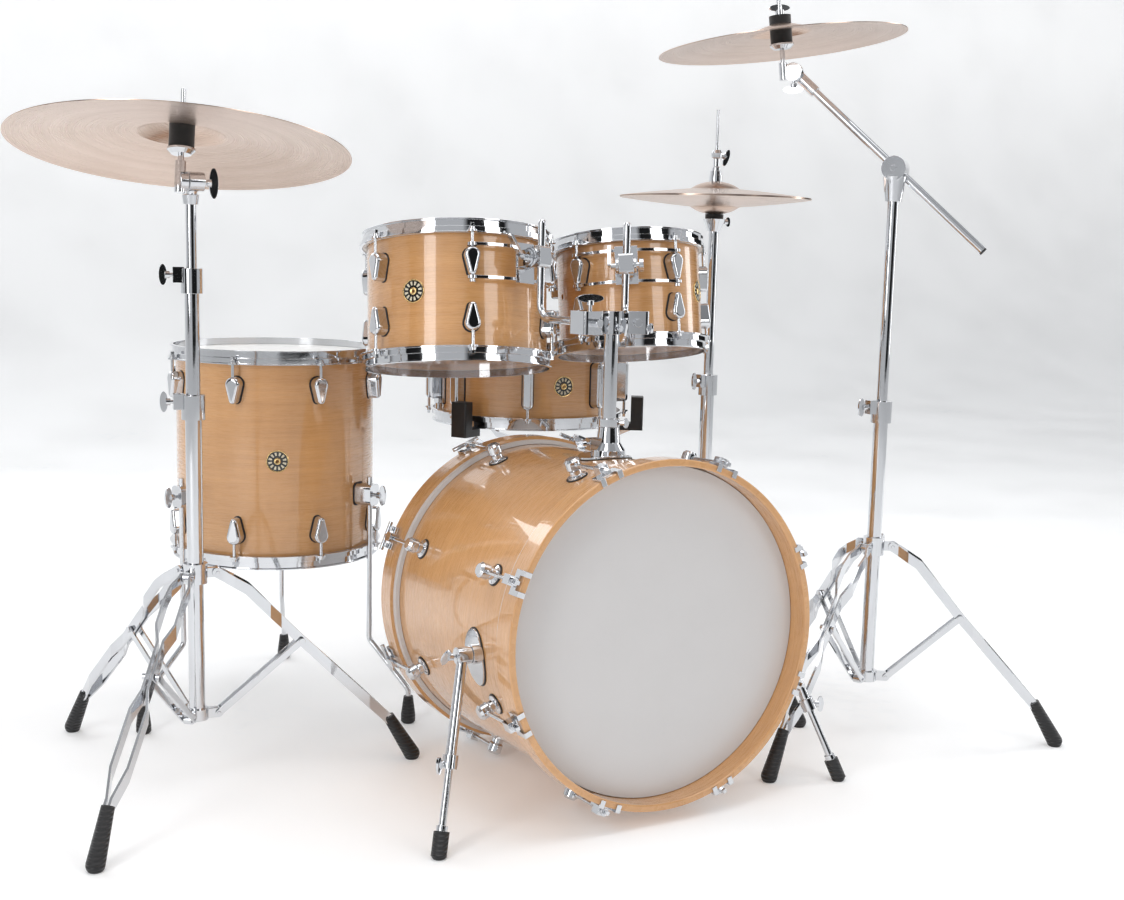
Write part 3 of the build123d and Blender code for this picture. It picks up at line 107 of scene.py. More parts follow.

# %% [markdown]
# ## Floor and light
# Chrome shows only what is around it, so the light is a few large soft boxes: bright where a plated
# edge should flash, with dark gaps between them so that tubes and hoops read as round. The floor
# curves up into a wall, which keeps the background even. The paper also has a painted glow that
# grows with height, so the wall is brighter than the floor.


def make_mesh(name, vertices, faces, smooth=True):
    """An object from lists of points and faces."""
    mesh = bpy.data.meshes.new(name)
    mesh.from_pydata([tuple(v) for v in vertices], [], faces)
    mesh.validate()
    for polygon in mesh.polygons:
        polygon.use_smooth = smooth
    made = bpy.data.objects.new(name, mesh)
    bpy.context.scene.collection.objects.link(made)
    return made


def sweep_profile(name, profile, half_width):
    """A wide sheet that follows a side profile of (y, z) points."""
    vertices, faces = [], []
    for y, z in profile:
        vertices += [(-half_width, y, z), (half_width, y, z)]
    for step in range(len(profile) - 1):
        faces.append((2 * step, 2 * step + 1, 2 * step + 3, 2 * step + 2))
    return make_mesh(name, vertices, faces)


FLOOR_FRONT, FLOOR_BACK, WALL_TOP, HALF_WIDTH = -8.0, 3.5, 9.0, 12.0
BEND = 2.5
profile = [(FLOOR_FRONT, 0.0), (FLOOR_BACK, 0.0)]
for degrees in range(6, 91, 6):
    turn = math.radians(degrees)
    profile.append((FLOOR_BACK + BEND * math.sin(turn), BEND * (1 - math.cos(turn))))
profile.append((FLOOR_BACK + BEND, WALL_TOP))
floor = sweep_profile("floor", profile, HALF_WIDTH)
floor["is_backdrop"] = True
print("floor faces", len(floor.data.polygons))

# %% Soft boxes


def soft_box(name, at, aim, width, height, watts, tint=(1, 1, 1)):
    """A large area light that points at a place."""
    light = bpy.data.lights.new(name, "AREA")
    light.shape, light.size, light.size_y = "RECTANGLE", width, height
    light.energy, light.color = watts, tint
    lamp = bpy.data.objects.new(name, light)
    bpy.context.scene.collection.objects.link(lamp)
    lamp.location = at
    lamp.rotation_euler = (Vector(at) - Vector(aim)).to_track_quat("Z", "Y").to_euler()
    return lamp


aim = (0, 0, 0.55)
soft_box("top_box", (0.0, -0.4, 3.6), aim, 3.6, 2.6, 58)
soft_box("left_box", (-3.4, -1.9, 1.9), aim, 1.0, 2.8, 44)
soft_box("front_box", (1.3, -4.2, 2.3), aim, 1.4, 1.8, 28)
soft_box("right_box", (3.6, -0.6, 1.7), aim, 0.8, 2.6, 28)
soft_box("back_box", (-1.2, 3.2, 2.6), aim, 2.4, 1.4, 26)
bpy.context.scene.view_settings.view_transform = "Standard"

# %% [markdown]
# ## Helpers for materials
# Each finish is a Principled shader with a few textures in front of it. A plain number is set on the
# shader itself. Only what changes over the surface comes from a node.

# %% Small helpers for shader nodes


def new_material(name, **plain):
    """A material and its Principled shader, with plain values set by socket name."""
    material = bpy.data.materials.new(name)
    material.use_nodes = True
    shader = material.node_tree.nodes["Principled BSDF"]
    for socket, value in plain.items():
        shader.inputs[socket.replace("_", " ")].default_value = value
    material.diffuse_color = shader.inputs["Base Color"].default_value
    return material, shader


class Wires:
    """Adds nodes to a tree and joins them, so that a finish reads as a short recipe."""

    def __init__(self, tree):
        self.tree = tree

    def node(self, kind, inputs=(), **settings):
        made = self.tree.nodes.new(kind)
        for key, value in settings.items():
            setattr(made, key, value)
        for key, value in dict(inputs).items():
            if isinstance(value, bpy.types.NodeSocket):
                self.tree.links.new(value, made.inputs[key])
            else:
                made.inputs[key].default_value = value
        return made

    def math(self, operation, a, b=0.5):
        return self.node("ShaderNodeMath", {0: a, 1: b}, operation=operation).outputs[0]

    def vector(self, operation, a, b=None):
        inputs = {0: a} if b is None else {0: a, 1: b}
        return self.node("ShaderNodeVectorMath", inputs, operation=operation)

    def scaled(self, vector, amount):
        return self.node("ShaderNodeVectorMath", {0: vector, "Scale": amount}, operation="SCALE").outputs[0]

    def noise(self, vector, scale, detail=3.0, rough=0.5):
        inputs = {"Vector": vector, "Scale": scale, "Detail": detail, "Roughness": rough}
        return self.node("ShaderNodeTexNoise", inputs).outputs["Fac"]

    def spread(self, value, low, high, to_low=0.0, to_high=1.0):
        inputs = {"Value": value, "From Min": low, "From Max": high, "To Min": to_low, "To Max": to_high}
        return self.node("ShaderNodeMapRange", inputs).outputs["Result"]

    def bump(self, strength, distance, height, normal=None):
        inputs = {"Strength": strength, "Distance": distance, "Height": height}
        if normal is not None:
            inputs["Normal"] = normal
        return self.node("ShaderNodeBump", inputs)

    def mix(self, factor, a, b):
        mixed = self.node("ShaderNodeMix", {"Factor": factor}, data_type="RGBA")
        for index, value in ((6, a), (7, b)):
            if isinstance(value, bpy.types.NodeSocket):
                self.tree.links.new(value, mixed.inputs[index])
            else:
                mixed.inputs[index].default_value = value
        return mixed.outputs[2]


def new_group(name, inputs, outputs):
    """A node group with named sockets: (name, kind, default) in and (name, kind) out."""
    group = bpy.data.node_groups.new(name, "ShaderNodeTree")
    for label, kind, value in inputs:
        socket = group.interface.new_socket(label, in_out="INPUT", socket_type=f"NodeSocket{kind}")
        socket.default_value = value
    for label, kind in outputs:
        group.interface.new_socket(label, in_out="OUTPUT", socket_type=f"NodeSocket{kind}")
    entry, end = group.nodes.new("NodeGroupInput"), group.nodes.new("NodeGroupOutput")
    return group, Wires(group), entry.outputs, end.inputs


def use_group(wires, group, **values):
    inputs = {key.replace("_", " "): value for key, value in values.items()}
    return wires.node("ShaderNodeGroup", inputs, node_tree=group)


def own_place(wires):
    """Coordinates that stay with the piece when it moves."""
    return wires.node("ShaderNodeTexCoord").outputs["Object"]


print("helpers ready")

# %% [markdown]
# ## Black flags and white walls
# Around the studio stand white walls with black flags between them. They are drawn in the world's
# light by compass direction, so each upright tube shows a few dark lines between white ones, which
# is what makes plating read as plating.

# %% The studio's walls
WALL_COUNT, WALL_TURN = 3.5, 0.9
world = bpy.data.worlds.new("studio")
bpy.context.scene.world = world
world.use_nodes = True
wires = Wires(world.node_tree)
toward = wires.node("ShaderNodeTexCoord").outputs["Generated"]
compass = wires.node("ShaderNodeSeparateXYZ", {0: toward}).outputs
heading = wires.math("ARCTAN2", compass["Y"], compass["X"])
wave = wires.math("SINE", wires.math("MULTIPLY", wires.math("ADD", heading, WALL_TURN), WALL_COUNT))
walls = wires.spread(wave, -0.1, 0.3, 0.015, 0.6)
ceiling = wires.spread(compass["Z"], 0.5, 0.75, 0.0, 0.42)
level = wires.math("MAXIMUM", walls, ceiling)
sky = world.node_tree.nodes["Background"]
sky.inputs["Color"].default_value = (0.95, 0.97, 1.0, 1)
world.node_tree.links.new(level, sky.inputs["Strength"])
print("walls around the studio", WALL_COUNT * 2)

# %% [markdown]
# ## Maple
# The shells are thin maple plies, lacquered to a deep gloss. The outer ply's grain runs around the
# drum, so the pattern should change quickly along the drum's axis and slowly around it. A noise
# texture does that when its coordinates are stretched along the axis, and it leaves no seam, which
# wrapping by angle would. A second, softer noise crosses the grain and gives the curl of maple.

# %% Maple grain as a node group
group_inputs = [
    ("Axis", "Vector", (0, 0, 1)),
    ("Pale", "Color", (0.68, 0.36, 0.145, 1)),
    ("Deep", "Color", (0.55, 0.275, 0.10, 1)),
]
maple_grain, wires, given, result = new_group(
    "maple_grain", group_inputs, [("Color", "Color"), ("Roughness", "Float"), ("Height", "Float")]
)
here = own_place(wires)
along = wires.vector("DOT_PRODUCT", here, given["Axis"]).outputs["Value"]
stretch = wires.scaled(given["Axis"], wires.math("MULTIPLY", along, 26.0))
streaky = wires.vector("ADD", here, stretch).outputs[0]
growth = wires.noise(streaky, 5.0, 5.0, 0.6)
pores = wires.noise(streaky, 34.0, 4.0, 0.7)
cloud = wires.noise(here, 7.0, 2.0)
squeeze = wires.scaled(given["Axis"], wires.math("MULTIPLY", along, -0.7))
curl = wires.noise(wires.vector("ADD", wires.scaled(here, 1.0), squeeze).outputs[0], 42.0, 1.0)
tone = wires.math("ADD", wires.spread(growth, 0.3, 0.7, 0.0, 0.75), wires.spread(cloud, 0.3, 0.7, -0.1, 0.35))
tone = wires.math("ADD", tone, wires.spread(curl, 0.3, 0.7, -0.12, 0.12))
plain_wood = wires.mix(wires.spread(tone, 0.0, 1.2), given["Pale"], given["Deep"])
fleck = wires.spread(pores, 0.58, 0.75, 0.0, 0.28)
wires.tree.links.new(wires.mix(fleck, plain_wood, (0.33, 0.15, 0.055, 1)), result["Color"])
wires.tree.links.new(wires.spread(pores, 0.3, 0.7, 0.22, 0.34), result["Roughness"])
wires.tree.links.new(growth, result["Height"])
print("group", maple_grain.name, "nodes", len(maple_grain.nodes))

# %% [markdown]
# ## Handling marks
# Nothing on a real kit is evenly shiny. Fingers, cloths and cases leave faint smears, so plated and
# moulded pieces share one group that puts a slow smear and a fine scuff into their roughness.

# %% Smears and scuffs as a node group
handled, wires, given, result = new_group(
    "handled",
    [("Clean", "Float", 0.05), ("Worn", "Float", 0.16), ("Scale", "Float", 30.0)],
    [("Roughness", "Float"), ("Height", "Float"), ("Mask", "Float")],
)
here = own_place(wires)
smear = wires.noise(here, given["Scale"], 3.0)
scuff = wires.noise(here, wires.math("MULTIPLY", given["Scale"], 14.0), 2.0)
mask = wires.math("MULTIPLY", wires.spread(smear, 0.4, 0.7), wires.spread(scuff, 0.3, 0.7, 0.5, 1.0))
wear = wires.math("SUBTRACT", given["Worn"], given["Clean"])
rough = wires.math("ADD", given["Clean"], wires.math("MULTIPLY", mask, wear))
wires.tree.links.new(rough, result["Roughness"])
wires.tree.links.new(scuff, result["Height"])
wires.tree.links.new(mask, result["Mask"])
print("group", handled.name, "nodes", len(handled.nodes))

# %% [markdown]
# ## Turned rings
# A cymbal is cut on a lathe, which leaves hundreds of fine rings about its own axis. The group takes
# the cymbal's middle and axis, works out how far each point is from that axis, and runs a noise along
# that one number. The rings then stay true on a tilted cymbal.

# %% Lathe rings as a node group
lathe_rings, wires, given, result = new_group(
    "lathe_rings",
    [("Middle", "Vector", (0, 0, 0)), ("Axis", "Vector", (0, 0, 1)), ("Spacing", "Float", 700.0)],
    [("Height", "Float"), ("Tone", "Float"), ("Roughness", "Float")],
)
here = own_place(wires)
offset = wires.vector("SUBTRACT", here, given["Middle"]).outputs[0]
along = wires.vector("DOT_PRODUCT", offset, given["Axis"]).outputs["Value"]
across = wires.vector("SUBTRACT", offset, wires.scaled(given["Axis"], along)).outputs[0]
distance = wires.vector("LENGTH", across).outputs["Value"]
line = wires.node("ShaderNodeCombineXYZ", {"X": distance})
fine = wires.noise(line.outputs[0], given["Spacing"], 2.0)
wide = wires.noise(line.outputs[0], wires.math("MULTIPLY", given["Spacing"], 0.05), 2.0)
cloudy = wires.noise(here, 9.0, 3.0)
wires.tree.links.new(fine, result["Height"])
tone = wires.math("ADD", wires.spread(wide, 0.3, 0.7, 0, 0.6), wires.spread(cloudy, 0.3, 0.7, 0, 0.4))
wires.tree.links.new(tone, result["Tone"])
wires.tree.links.new(wires.spread(fine, 0.3, 0.7, 0.2, 0.34), result["Roughness"])
print("group", lathe_rings.name, "nodes", len(lathe_rings.nodes))

# %% [markdown]
# ## The finishes
# The wood is a rough-ish base under a clear coat, which is what lacquer is. Plating is a bright
# metal, and a Bevel node rounds the look of its corners, since no plated corner is truly sharp.

# %% Lacquered maple, one material for each direction of grain


def maple(name, axis):
    material, shader = new_material(name, Coat_Weight=1.0, Coat_Roughness=0.03, Coat_IOR=1.55)
    wires = Wires(material.node_tree)
    grain = use_group(wires, maple_grain, Axis=Vector(axis).normalized())
    bump = wires.bump(0.04, 0.0004, grain.outputs["Height"])
    material.node_tree.links.new(grain.outputs["Color"], shader.inputs["Base Color"])
    material.node_tree.links.new(grain.outputs["Roughness"], shader.inputs["Roughness"])
    material.node_tree.links.new(bump.outputs[0], shader.inputs["Normal"])
    return material


# Each drum's middle in millimetres from the kick's place on the floor, its axis and its radius
DRUMS = {
    "kick": ((0, 0, 278), (0, -0.99897, 0.0458), 254.0),
    "tom12": ((-118, 268, 763), (0.057, 0.172, 1), 152.4),
    "tom10": ((203, 232, 774), (0.031, 0.189, 1), 127.0),
    "floor_tom": ((-337, 581, 483), (0, 0, 1), 177.8),
    "snare": ((172, 557, 602), (0, 0, 1), 177.8),
}
woods = {name: maple(f"maple_{name}", axis) for name, (_, axis, _) in DRUMS.items()}
print("maple materials", len(woods))

# %% Plating and other metal


def plated(name, color, clean, worn, edge=0.0007, **plain):
    """A bright metal with smears, fine scuffs and softened corners."""
    material, shader = new_material(name, Base_Color=color, Metallic=1.0, **plain)
    wires = Wires(material.node_tree)
    marks = use_group(wires, handled, Clean=clean, Worn=worn, Scale=26.0)
    soft = wires.node("ShaderNodeBevel", {"Radius": edge}, samples=4)
    bump = wires.bump(0.03, 0.0002, marks.outputs["Height"], soft.outputs[0])
    material.node_tree.links.new(marks.outputs["Roughness"], shader.inputs["Roughness"])
    material.node_tree.links.new(bump.outputs[0], shader.inputs["Normal"])
    return material


chrome = plated("chrome", (0.66, 0.67, 0.69, 1), 0.04, 0.12)
dull_steel = plated("rod_steel", (0.42, 0.41, 0.40, 1), 0.22, 0.36)
flesh_rim = plated("head_rim_aluminium", (0.80, 0.81, 0.82, 1), 0.20, 0.32)
brass = plated("badge_brass", (0.80, 0.58, 0.27, 1), 0.18, 0.34)
wire_steel = plated("snare_wire_steel", (0.62, 0.62, 0.62, 1), 0.20, 0.35)
print("metals", chrome.name, dull_steel.name, flesh_rim.name, brass.name)

# %% Bronze for the cymbals


def bronze(name, middle, axis):
    material, shader = new_material(name, Metallic=1.0)
    wires = Wires(material.node_tree)
    rings = use_group(wires, lathe_rings, Middle=place(*middle), Axis=Vector(axis).normalized())
    color = wires.mix(rings.outputs["Tone"], (0.68, 0.54, 0.46, 1), (0.54, 0.40, 0.32, 1))
    bump = wires.bump(0.25, 0.0003, rings.outputs["Height"])
    material.node_tree.links.new(color, shader.inputs["Base Color"])
    material.node_tree.links.new(rings.outputs["Roughness"], shader.inputs["Roughness"])
    material.node_tree.links.new(bump.outputs[0], shader.inputs["Normal"])
    return material


CYMBALS = {
    "ride_cymbal": ((-598, 222, 991), (0.100, 0.172, 1)),
    "crash_cymbal": ((431, 118, 1221), (-0.096, 0.066, 1)),
    "hihat_top_cymbal": ((411, 275, 958), (0, 0, 1)),
    "hihat_bottom_cymbal": ((411, 275, 956), (0, 0, 1)),
}
bronzes = {name: bronze(f"bronze_{name}", *at) for name, at in CYMBALS.items()}
print("cymbals", sorted(bronzes))

# %% Heads, felt, rubber and enamel


def moulded(name, color, clean, worn, scale, bump_height, worn_tone=0.86, ribs=0.0, **plain):
    """A non-metal with uneven sheen and a fine surface, ribbed if asked."""
    material, shader = new_material(name, **plain)
    wires = Wires(material.node_tree)
    marks = use_group(wires, handled, Clean=clean, Worn=worn, Scale=scale)
    darker = tuple(c * worn_tone for c in color[:3]) + (1,)
    mixed = wires.mix(marks.outputs["Mask"], color, darker)
    bump = wires.bump(0.4, bump_height, marks.outputs["Height"])
    if ribs:
        height = wires.node("ShaderNodeSeparateXYZ", {0: own_place(wires)}).outputs["Z"]
        wave = wires.math("SINE", wires.math("MULTIPLY", height, 2 * math.pi / ribs))
        bump = wires.bump(0.8, 0.001, wave, bump.outputs[0])
    material.node_tree.links.new(mixed, shader.inputs["Base Color"])
    material.node_tree.links.new(marks.outputs["Roughness"], shader.inputs["Roughness"])
    material.node_tree.links.new(bump.outputs[0], shader.inputs["Normal"])
    return material


coated_film = moulded("coated_head_film", (0.80, 0.80, 0.79, 1), 0.42, 0.55, 60.0, 0.00008)
kick_film = moulded("smooth_head_film", (0.66, 0.645, 0.64, 1), 0.32, 0.42, 12.0, 0.00004, worn_tone=0.975)
clear_film = moulded("clear_head_film", (0.95, 0.95, 0.95, 1), 0.04, 0.10, 12.0, 0.00002, Alpha=0.28)
felt = moulded("pressed_felt", (0.012, 0.012, 0.012, 1), 0.9, 1.0, 90.0, 0.0006, Sheen_Weight=0.4)
rubber = moulded("rubber", (0.012, 0.012, 0.013, 1), 0.36, 0.62, 40.0, 0.00015)
foot_rubber = moulded("ribbed_rubber", (0.012, 0.012, 0.013, 1), 0.34, 0.6, 40.0, 0.00015, ribs=0.006)
gasket_rubber = moulded("gasket_rubber", (0.010, 0.010, 0.011, 1), 0.45, 0.65, 60.0, 0.0001)
enamel = moulded("black_enamel", (0.012, 0.012, 0.012, 1), 0.18, 0.30, 90.0, 0.00004, Coat_Weight=0.6)
cream = moulded("cream_enamel", (0.72, 0.66, 0.50, 1), 0.30, 0.42, 90.0, 0.00004)
paper = moulded("studio_paper", (0.90, 0.905, 0.91, 1), 0.75, 0.85, 2.0, 0.0002)
wires = Wires(paper.node_tree)
# Painted light: the paper glows faintly on the floor and more strongly up the wall, so the wall reads
# brighter than the floor.
rise = wires.node("ShaderNodeSeparateXYZ", {0: own_place(wires)}).outputs["Z"]
painted_wall_glow = wires.spread(rise, 0.0, 2.5, 0.17, 0.5)
paper.node_tree.links.new(painted_wall_glow, paper.node_tree.nodes["Principled BSDF"].inputs["Emission Strength"])
floor.data.materials.append(paper)
print("materials", len(bpy.data.materials))

# %% [markdown]
# Many CAD nodes hold several solids of different stuff, such as a stand with rubber feet. The shape
# is right, so the meshes stay as they are, and each patch of faces is given its own material slot.
# A patch is a set of faces that share points: one surface of the real piece.

# %% Painting a node by its patches


def patches(mesh):
    """Groups of faces that share points, each with its lowest and highest corners."""
    leader = list(range(len(mesh.vertices)))

    def find(index):
        while leader[index] != index:
            leader[index] = leader[leader[index]]
            index = leader[index]
        return index

    for polygon in mesh.polygons:
        first = find(polygon.vertices[0])
        for vertex in polygon.vertices[1:]:
            leader[find(vertex)] = first
    groups = {}
    for polygon in mesh.polygons:
        groups.setdefault(find(polygon.vertices[0]), []).append(polygon)
    for members in groups.values():
        points = [mesh.vertices[v].co for polygon in members for v in polygon.vertices]
        low = Vector(min(p[i] for p in points) for i in range(3))
        high = Vector(max(p[i] for p in points) for i in range(3))
        yield members, low, high


def paint(node, usual, *rules):
    """Gives a node its usual material, and another to each patch that a rule picks."""
    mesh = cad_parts[node].data
    mesh.materials.clear()
    for material in [usual] + [material for material, _ in rules]:
        mesh.materials.append(material)
    count = 0
    for members, low, high in patches(mesh):
        index = 0
        for number, (_, picks) in enumerate(rules):
            if picks(low, high):
                index = number + 1
        for polygon in members:
            polygon.material_index = index
        count += index > 0
    return count


def near(point, low, high, reach):
    """Whether a patch lies wholly within reach of a vertical line."""
    x, y = point.x, point.y
    return all(abs(c.x - x) < reach and abs(c.y - y) < reach for c in (low, high))


def feet_of(at, spread, turn):
    """Where a tripod's three feet stand."""
    angles = [math.radians(turn + 120 * number) for number in range(3)]
    return [place(at[0] + spread * math.cos(a), at[1] + spread * math.sin(a), 0) for a in angles]


STANDS = {
    "ride": ((-584, 228), 350.0, -8.0),
    "boom": ((563, -42), 331.0, -37.5),
    "hihat": ((411, 275), 245.0, -75.0),
    "snare": ((172, 557), 235.0, 65.0),
}
FEET = {name: feet_of(*values) for name, values in STANDS.items()}
FOOT_TOP = 0.088


def is_foot(feet):
    return lambda low, high: high.z < FOOT_TOP and any(near(foot, low, high, 0.062) for foot in feet)


print("feet", {name: len(points) for name, points in FEET.items()})

# %% Drums


def is_below(height):
    """Picks the patches whose middle is lower than a height."""
    return lambda low, high: (low.z + high.z) / 2 < height


for name, (middle, _, _) in DRUMS.items():
    paint(f"{name}_shell", woods[name])
    paint(f"{name}_hoops", woods["kick"] if name == "kick" else chrome)
    if name == "kick":
        paint("kick_heads", kick_film)
    else:
        paint(f"{name}_heads", coated_film, (clear_film, is_below(place(*middle).z)))
PLATED_FITTINGS = (
    "kick_lugs", "kick_claws", "kick_fittings", "tom_mount_post", "tom12_arm", "tom10_arm",
    "tom12_lugs", "tom10_lugs", "floor_tom_lugs", "snare_lugs", "tom12_bracket", "tom10_bracket",
    "throw_off_lever",
)
for node in PLATED_FITTINGS:
    paint(node, chrome)
paint("snare_wires", wire_steel)
print("drums painted")

# %% Stands, rubber and felt
for side in ("left", "right"):
    paint(f"{side}_spur", chrome)
    paint(f"{side}_spur_leg", chrome, (foot_rubber, lambda low, high: high.z < 0.045))
paint("floor_tom_legs", chrome, (foot_rubber, lambda low, high: high.z < 0.052))
for number in (1, 2, 3):
    paint(f"ride_leg_{number}", chrome, (foot_rubber, is_foot(FEET["ride"])))
    paint(f"ride_brace_{number}", chrome)
for node in ("ride_pole", "ride_collar", "ride_middle_tube", "ride_top_tube", "boom_mast", "hihat_pedal"):
    paint(node, chrome)
paint("boom_stand", chrome, (foot_rubber, is_foot(FEET["boom"])))
seat_felt = lambda low, high: low.z > 0.9185 and high.z < 0.9295
paint("hihat_stand", chrome, (foot_rubber, is_foot(FEET["hihat"])), (felt, seat_felt))
paint("snare_stand", chrome, (foot_rubber, is_foot(FEET["snare"])))
clutch_felt = lambda low, high: low.z > 0.988 and high.z < 1.0005 and high.x - low.x > 0.013
paint("hihat_rod", chrome, (felt, clutch_felt))
middle_of_snare = place(172, 557, 0)
GRIP_REACH, GRIP_LOWEST = 0.19, 0.5


def is_basket_grip(low, high):
    """The rubber grips stand outside the snare's shell, high above the floor."""
    middle = Vector(((low.x + high.x) / 2, (low.y + high.y) / 2, 0))
    return (middle - middle_of_snare).length > GRIP_REACH and low.z > GRIP_LOWEST


paint("snare_basket", chrome, (rubber, is_basket_grip))
paint("ride_felts", felt)
paint("crash_felts", felt)
paint("ride_tilter", chrome)
paint("crash_tilter", chrome)
tail = place(656, -157, 874)
paint("boom_arm", chrome, (rubber, lambda low, high: high.z < tail.z + 0.012))
for name, material in bronzes.items():
    paint(name, material)
print("stands painted")

# %% [markdown]
# ## Gaskets
# Every lug and bracket sits on a black gasket a little larger than its foot, which keeps metal off
# the lacquer and draws a dark line around it. Each is a thin plate bent to the shell, so its outline
# is drawn flat in millimetres and then wrapped: the width runs around the drum and the height along.

# %% A plate bent around a shell


def drum_axes(axis):
    """A drum's own X and Y directions and its axis, as the CAD model has them."""
    z = Vector(axis).normalized()
    x = (Vector((1, 0, 0)) - z * z.x).normalized()
    return x, z.cross(x), z


def on_drum(name, angle, radius, height):
    """A point of a drum: around it in degrees, out from its axis and along it in millimetres."""
    middle, axis, _ = DRUMS[name]
    x, y, z = drum_axes(axis)
    turn = math.radians(angle)
    return place(*middle) + (x * math.cos(turn) * radius + y * math.sin(turn) * radius + z * height) * MM


def rounded_hull(circles, margin, steps=10):
    """The outline around circles (centre height, radius) that stand in a column."""
    (top, top_radius), (bottom, bottom_radius) = circles
    lean = math.asin((top_radius - bottom_radius) / (top - bottom))
    points = []
    arcs = (
        (top, top_radius + margin, -lean, math.pi + 2 * lean),
        (bottom, bottom_radius + margin, math.pi + lean, math.pi - 2 * lean),
    )
    for centre, radius, start, sweep in arcs:
        for step in range(steps + 1):
            turn = start + sweep * step / steps
            points.append((radius * math.cos(turn), centre + radius * math.sin(turn)))
    return points


def ellipse(width, height, steps=32):
    turns = [2 * math.pi * step / steps for step in range(steps)]
    return [(width / 2 * math.cos(turn), height / 2 * math.sin(turn)) for turn in turns]


def bent_plate(name, angle, height, outline, thick, inset=1.2):
    """Points and faces of a plate on a shell: a wall up to a rounded shoulder and a flat top."""
    _, _, radius = DRUMS[name]
    rings = [(1.0, -0.4), (1.0, thick - 0.4), (1 - inset / 40, thick), (0.5, thick)]
    vertices, faces = [], []
    for scale, rise in rings:
        for u, v in outline:
            turn = angle + math.degrees(u * scale / radius)
            vertices.append(on_drum(name, turn, radius + rise, height + v * scale))
    count = len(outline)
    for ring in range(len(rings) - 1):
        for step in range(count):
            here, there = ring * count + step, ring * count + (step + 1) % count
            faces.append((here, there, there + count, here + count))
    faces.append(tuple(range((len(rings) - 1) * count, len(rings) * count)))
    return vertices, faces


def gather(name, plates, material, body, smooth=False):
    """One object from several sets of points and faces, riding on a body."""
    vertices, faces = [], []
    for points, loops in plates:
        start = len(vertices)
        vertices += points
        faces += [tuple(start + index for index in loop) for loop in loops]
    made = make_mesh(name, vertices, faces, smooth)
    made.data.materials.append(material)
    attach(made, body)
    return made


print("plates ready")

# %% Gaskets under the lugs
LUG_PLACES = {
    "kick": [22.5 + 45 * n for n in range(8)],
    "tom12": [-106.5 + 60 * n for n in range(6)],
    "tom10": [-86.5 + 72 * n for n in range(5)],
    "floor_tom": [-84.8 + 45 * n for n in range(8)],
    "snare": [-117.3 + 45 * n for n in range(8)],
}
LUG_HEIGHTS = {"kick": 132.2, "tom12": 45.6, "tom10": 34.9, "floor_tom": 123.8}
BODY_OF = {"kick": "kit", "tom12": "tom12", "tom10": "tom10", "floor_tom": "kit", "snare": "snare"}
GASKET = 1.6
for name, angles in LUG_PLACES.items():
    plates = []
    for angle in angles:
        if name == "snare":
            plates.append(bent_plate(name, angle, 0, rounded_hull([(33, 10), (-33, 10)], GASKET), 1.6))
        elif name == "kick":
            for side in (-1, 1):
                plates.append(bent_plate(name, angle, side * LUG_HEIGHTS[name], ellipse(34, 34), 1.6))
        else:
            shield = rounded_hull([(9, 13), (-18, 6.5)], GASKET)
            for side in (-1, 1):
                outline = [(u, side * v) for u, v in shield][::side]
                plates.append(bent_plate(name, angle, side * LUG_HEIGHTS[name], outline, 1.6))
    gaskets = gather(f"{name}_gaskets", plates, gasket_rubber, BODY_OF[name])
    print(gaskets.name, len(gaskets.data.vertices))

# %% Gaskets under the brackets


def rounded_box(width, height, corner, steps=5):
    points = []
    for cx, cy, start in ((1, 1, 0), (-1, 1, 90), (-1, -1, 180), (1, -1, 270)):
        for step in range(steps + 1):
            turn = math.radians(start + 90 * step / steps)
            u = cx * (width / 2 - corner) + corner * math.cos(turn)
            v = cy * (height / 2 - corner) + corner * math.sin(turn)
            points.append((u, v))
    return points


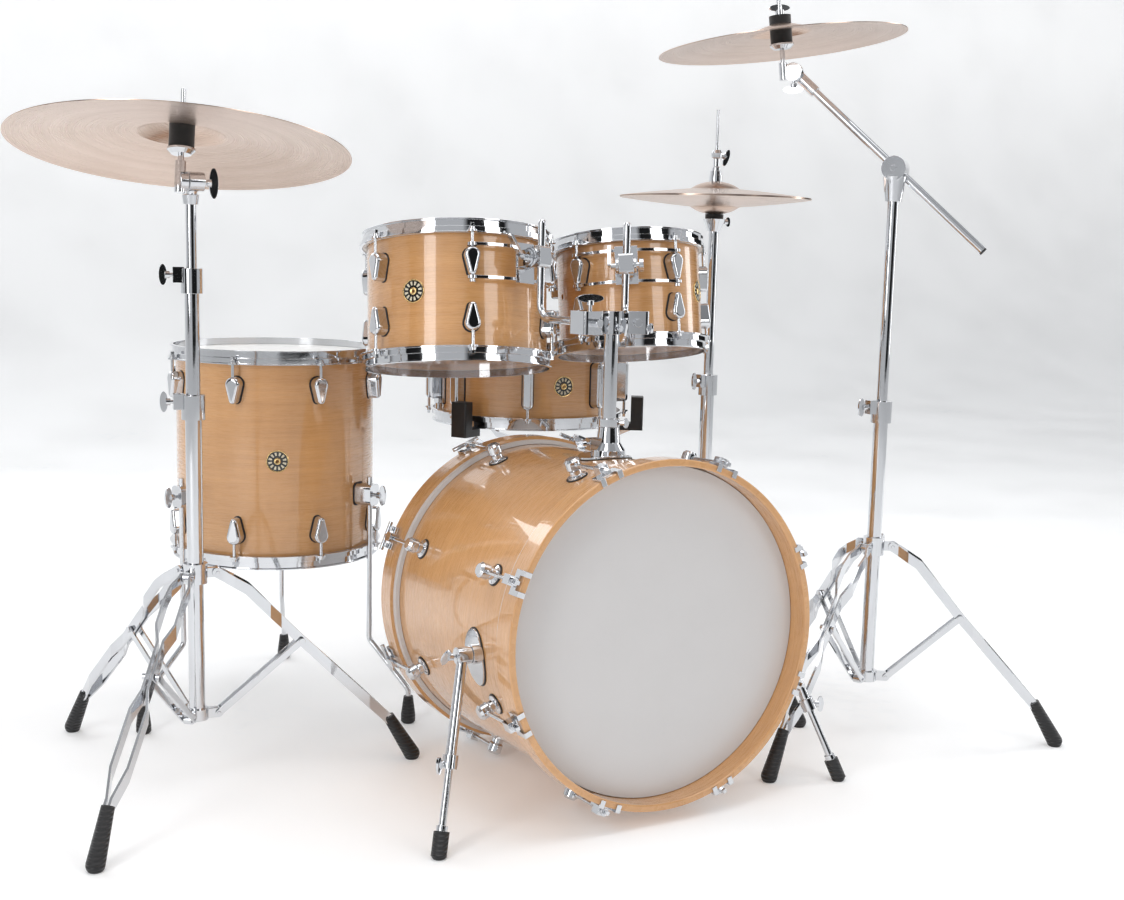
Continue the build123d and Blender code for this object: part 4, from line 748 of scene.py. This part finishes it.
plates = [bent_plate("floor_tom", angle, 413 - 483, rounded_box(34, 42, 9), 1.6) for angle in (-53, 69, 198)]
gather("floor_tom_bracket_gaskets", plates, gasket_rubber, "kit")
plates = [bent_plate("kick", angle, 100, ellipse(92, 62), 1.6) for angle in (-7, 187)]
plates.append(bent_plate("kick", 90, 48, ellipse(92, 84), 1.6))
gather("kick_bracket_gaskets", plates, gasket_rubber, "kit")
plates = [
    bent_plate("snare", 176, -14, rounded_box(30, 66, 5), 1.4),
    bent_plate("snare", 356, -22, rounded_box(38, 48, 5), 1.4),
]
gather("snare_strainer_gaskets", plates, gasket_rubber, "snare")
print("bracket gaskets added")

# %% [markdown]
# ## Badges
# A round badge covers each air vent. It is black enamel with a brass rim, a ring of plain cream
# marks and a brass grommet in the middle. It is turned as a set of rings, pressed to the shell's
# curve, and each ring of faces takes its own material.

# %% Round badges over the vents
# Each ring of the badge as (radius, rise from the shell) in millimetres, from the vent outwards
BADGE_RINGS = [
    (2.6, -1.0), (2.6, 1.6), (4.2, 2.0), (5.6, 1.6), (6.0, 0.9), (9.5, 0.9),
    (15.5, 0.9), (17.4, 0.9), (17.8, 1.7), (18.8, 1.9), (19.4, 1.3), (19.4, -0.4),
]
BADGE_STEPS = 72


def badge(name, angle, height):
    _, _, radius = DRUMS[name]
    vertices, faces, kinds = [], [], []
    for ring, rise in BADGE_RINGS:
        for step in range(BADGE_STEPS):
            turn = 2 * math.pi * step / BADGE_STEPS
            around = angle + math.degrees(ring * math.cos(turn) / radius)
            vertices.append(on_drum(name, around, radius + rise, height + ring * math.sin(turn)))
    for ring in range(len(BADGE_RINGS) - 1):
        for step in range(BADGE_STEPS):
            here, there = ring * BADGE_STEPS + step, ring * BADGE_STEPS + (step + 1) % BADGE_STEPS
            faces.append((here, there, there + BADGE_STEPS, here + BADGE_STEPS))
            metal = ring < 4 or ring > 6
            mark = ring == 5 and step % 6 in (1, 2, 3)
            kinds.append(1 if metal else 2 if mark else 0)
    made = make_mesh(f"{name}_badge", vertices, faces, smooth=False)
    for material in (enamel, brass, cream):
        made.data.materials.append(material)
    for polygon, kind in zip(made.data.polygons, kinds):
        polygon.material_index = kind
    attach(made, BODY_OF[name])
    return made


BADGE_ANGLES = {"tom12": -142.5, "tom10": -50.5, "floor_tom": -107.3, "snare": -95}
for name, angle in BADGE_ANGLES.items():
    print("badge on", badge(name, angle, 0).name)

# %% Sizes of the CAD model and of the finished kit
[[list(map(float, corner)) for corner in box] for box in (cad_box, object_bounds())]
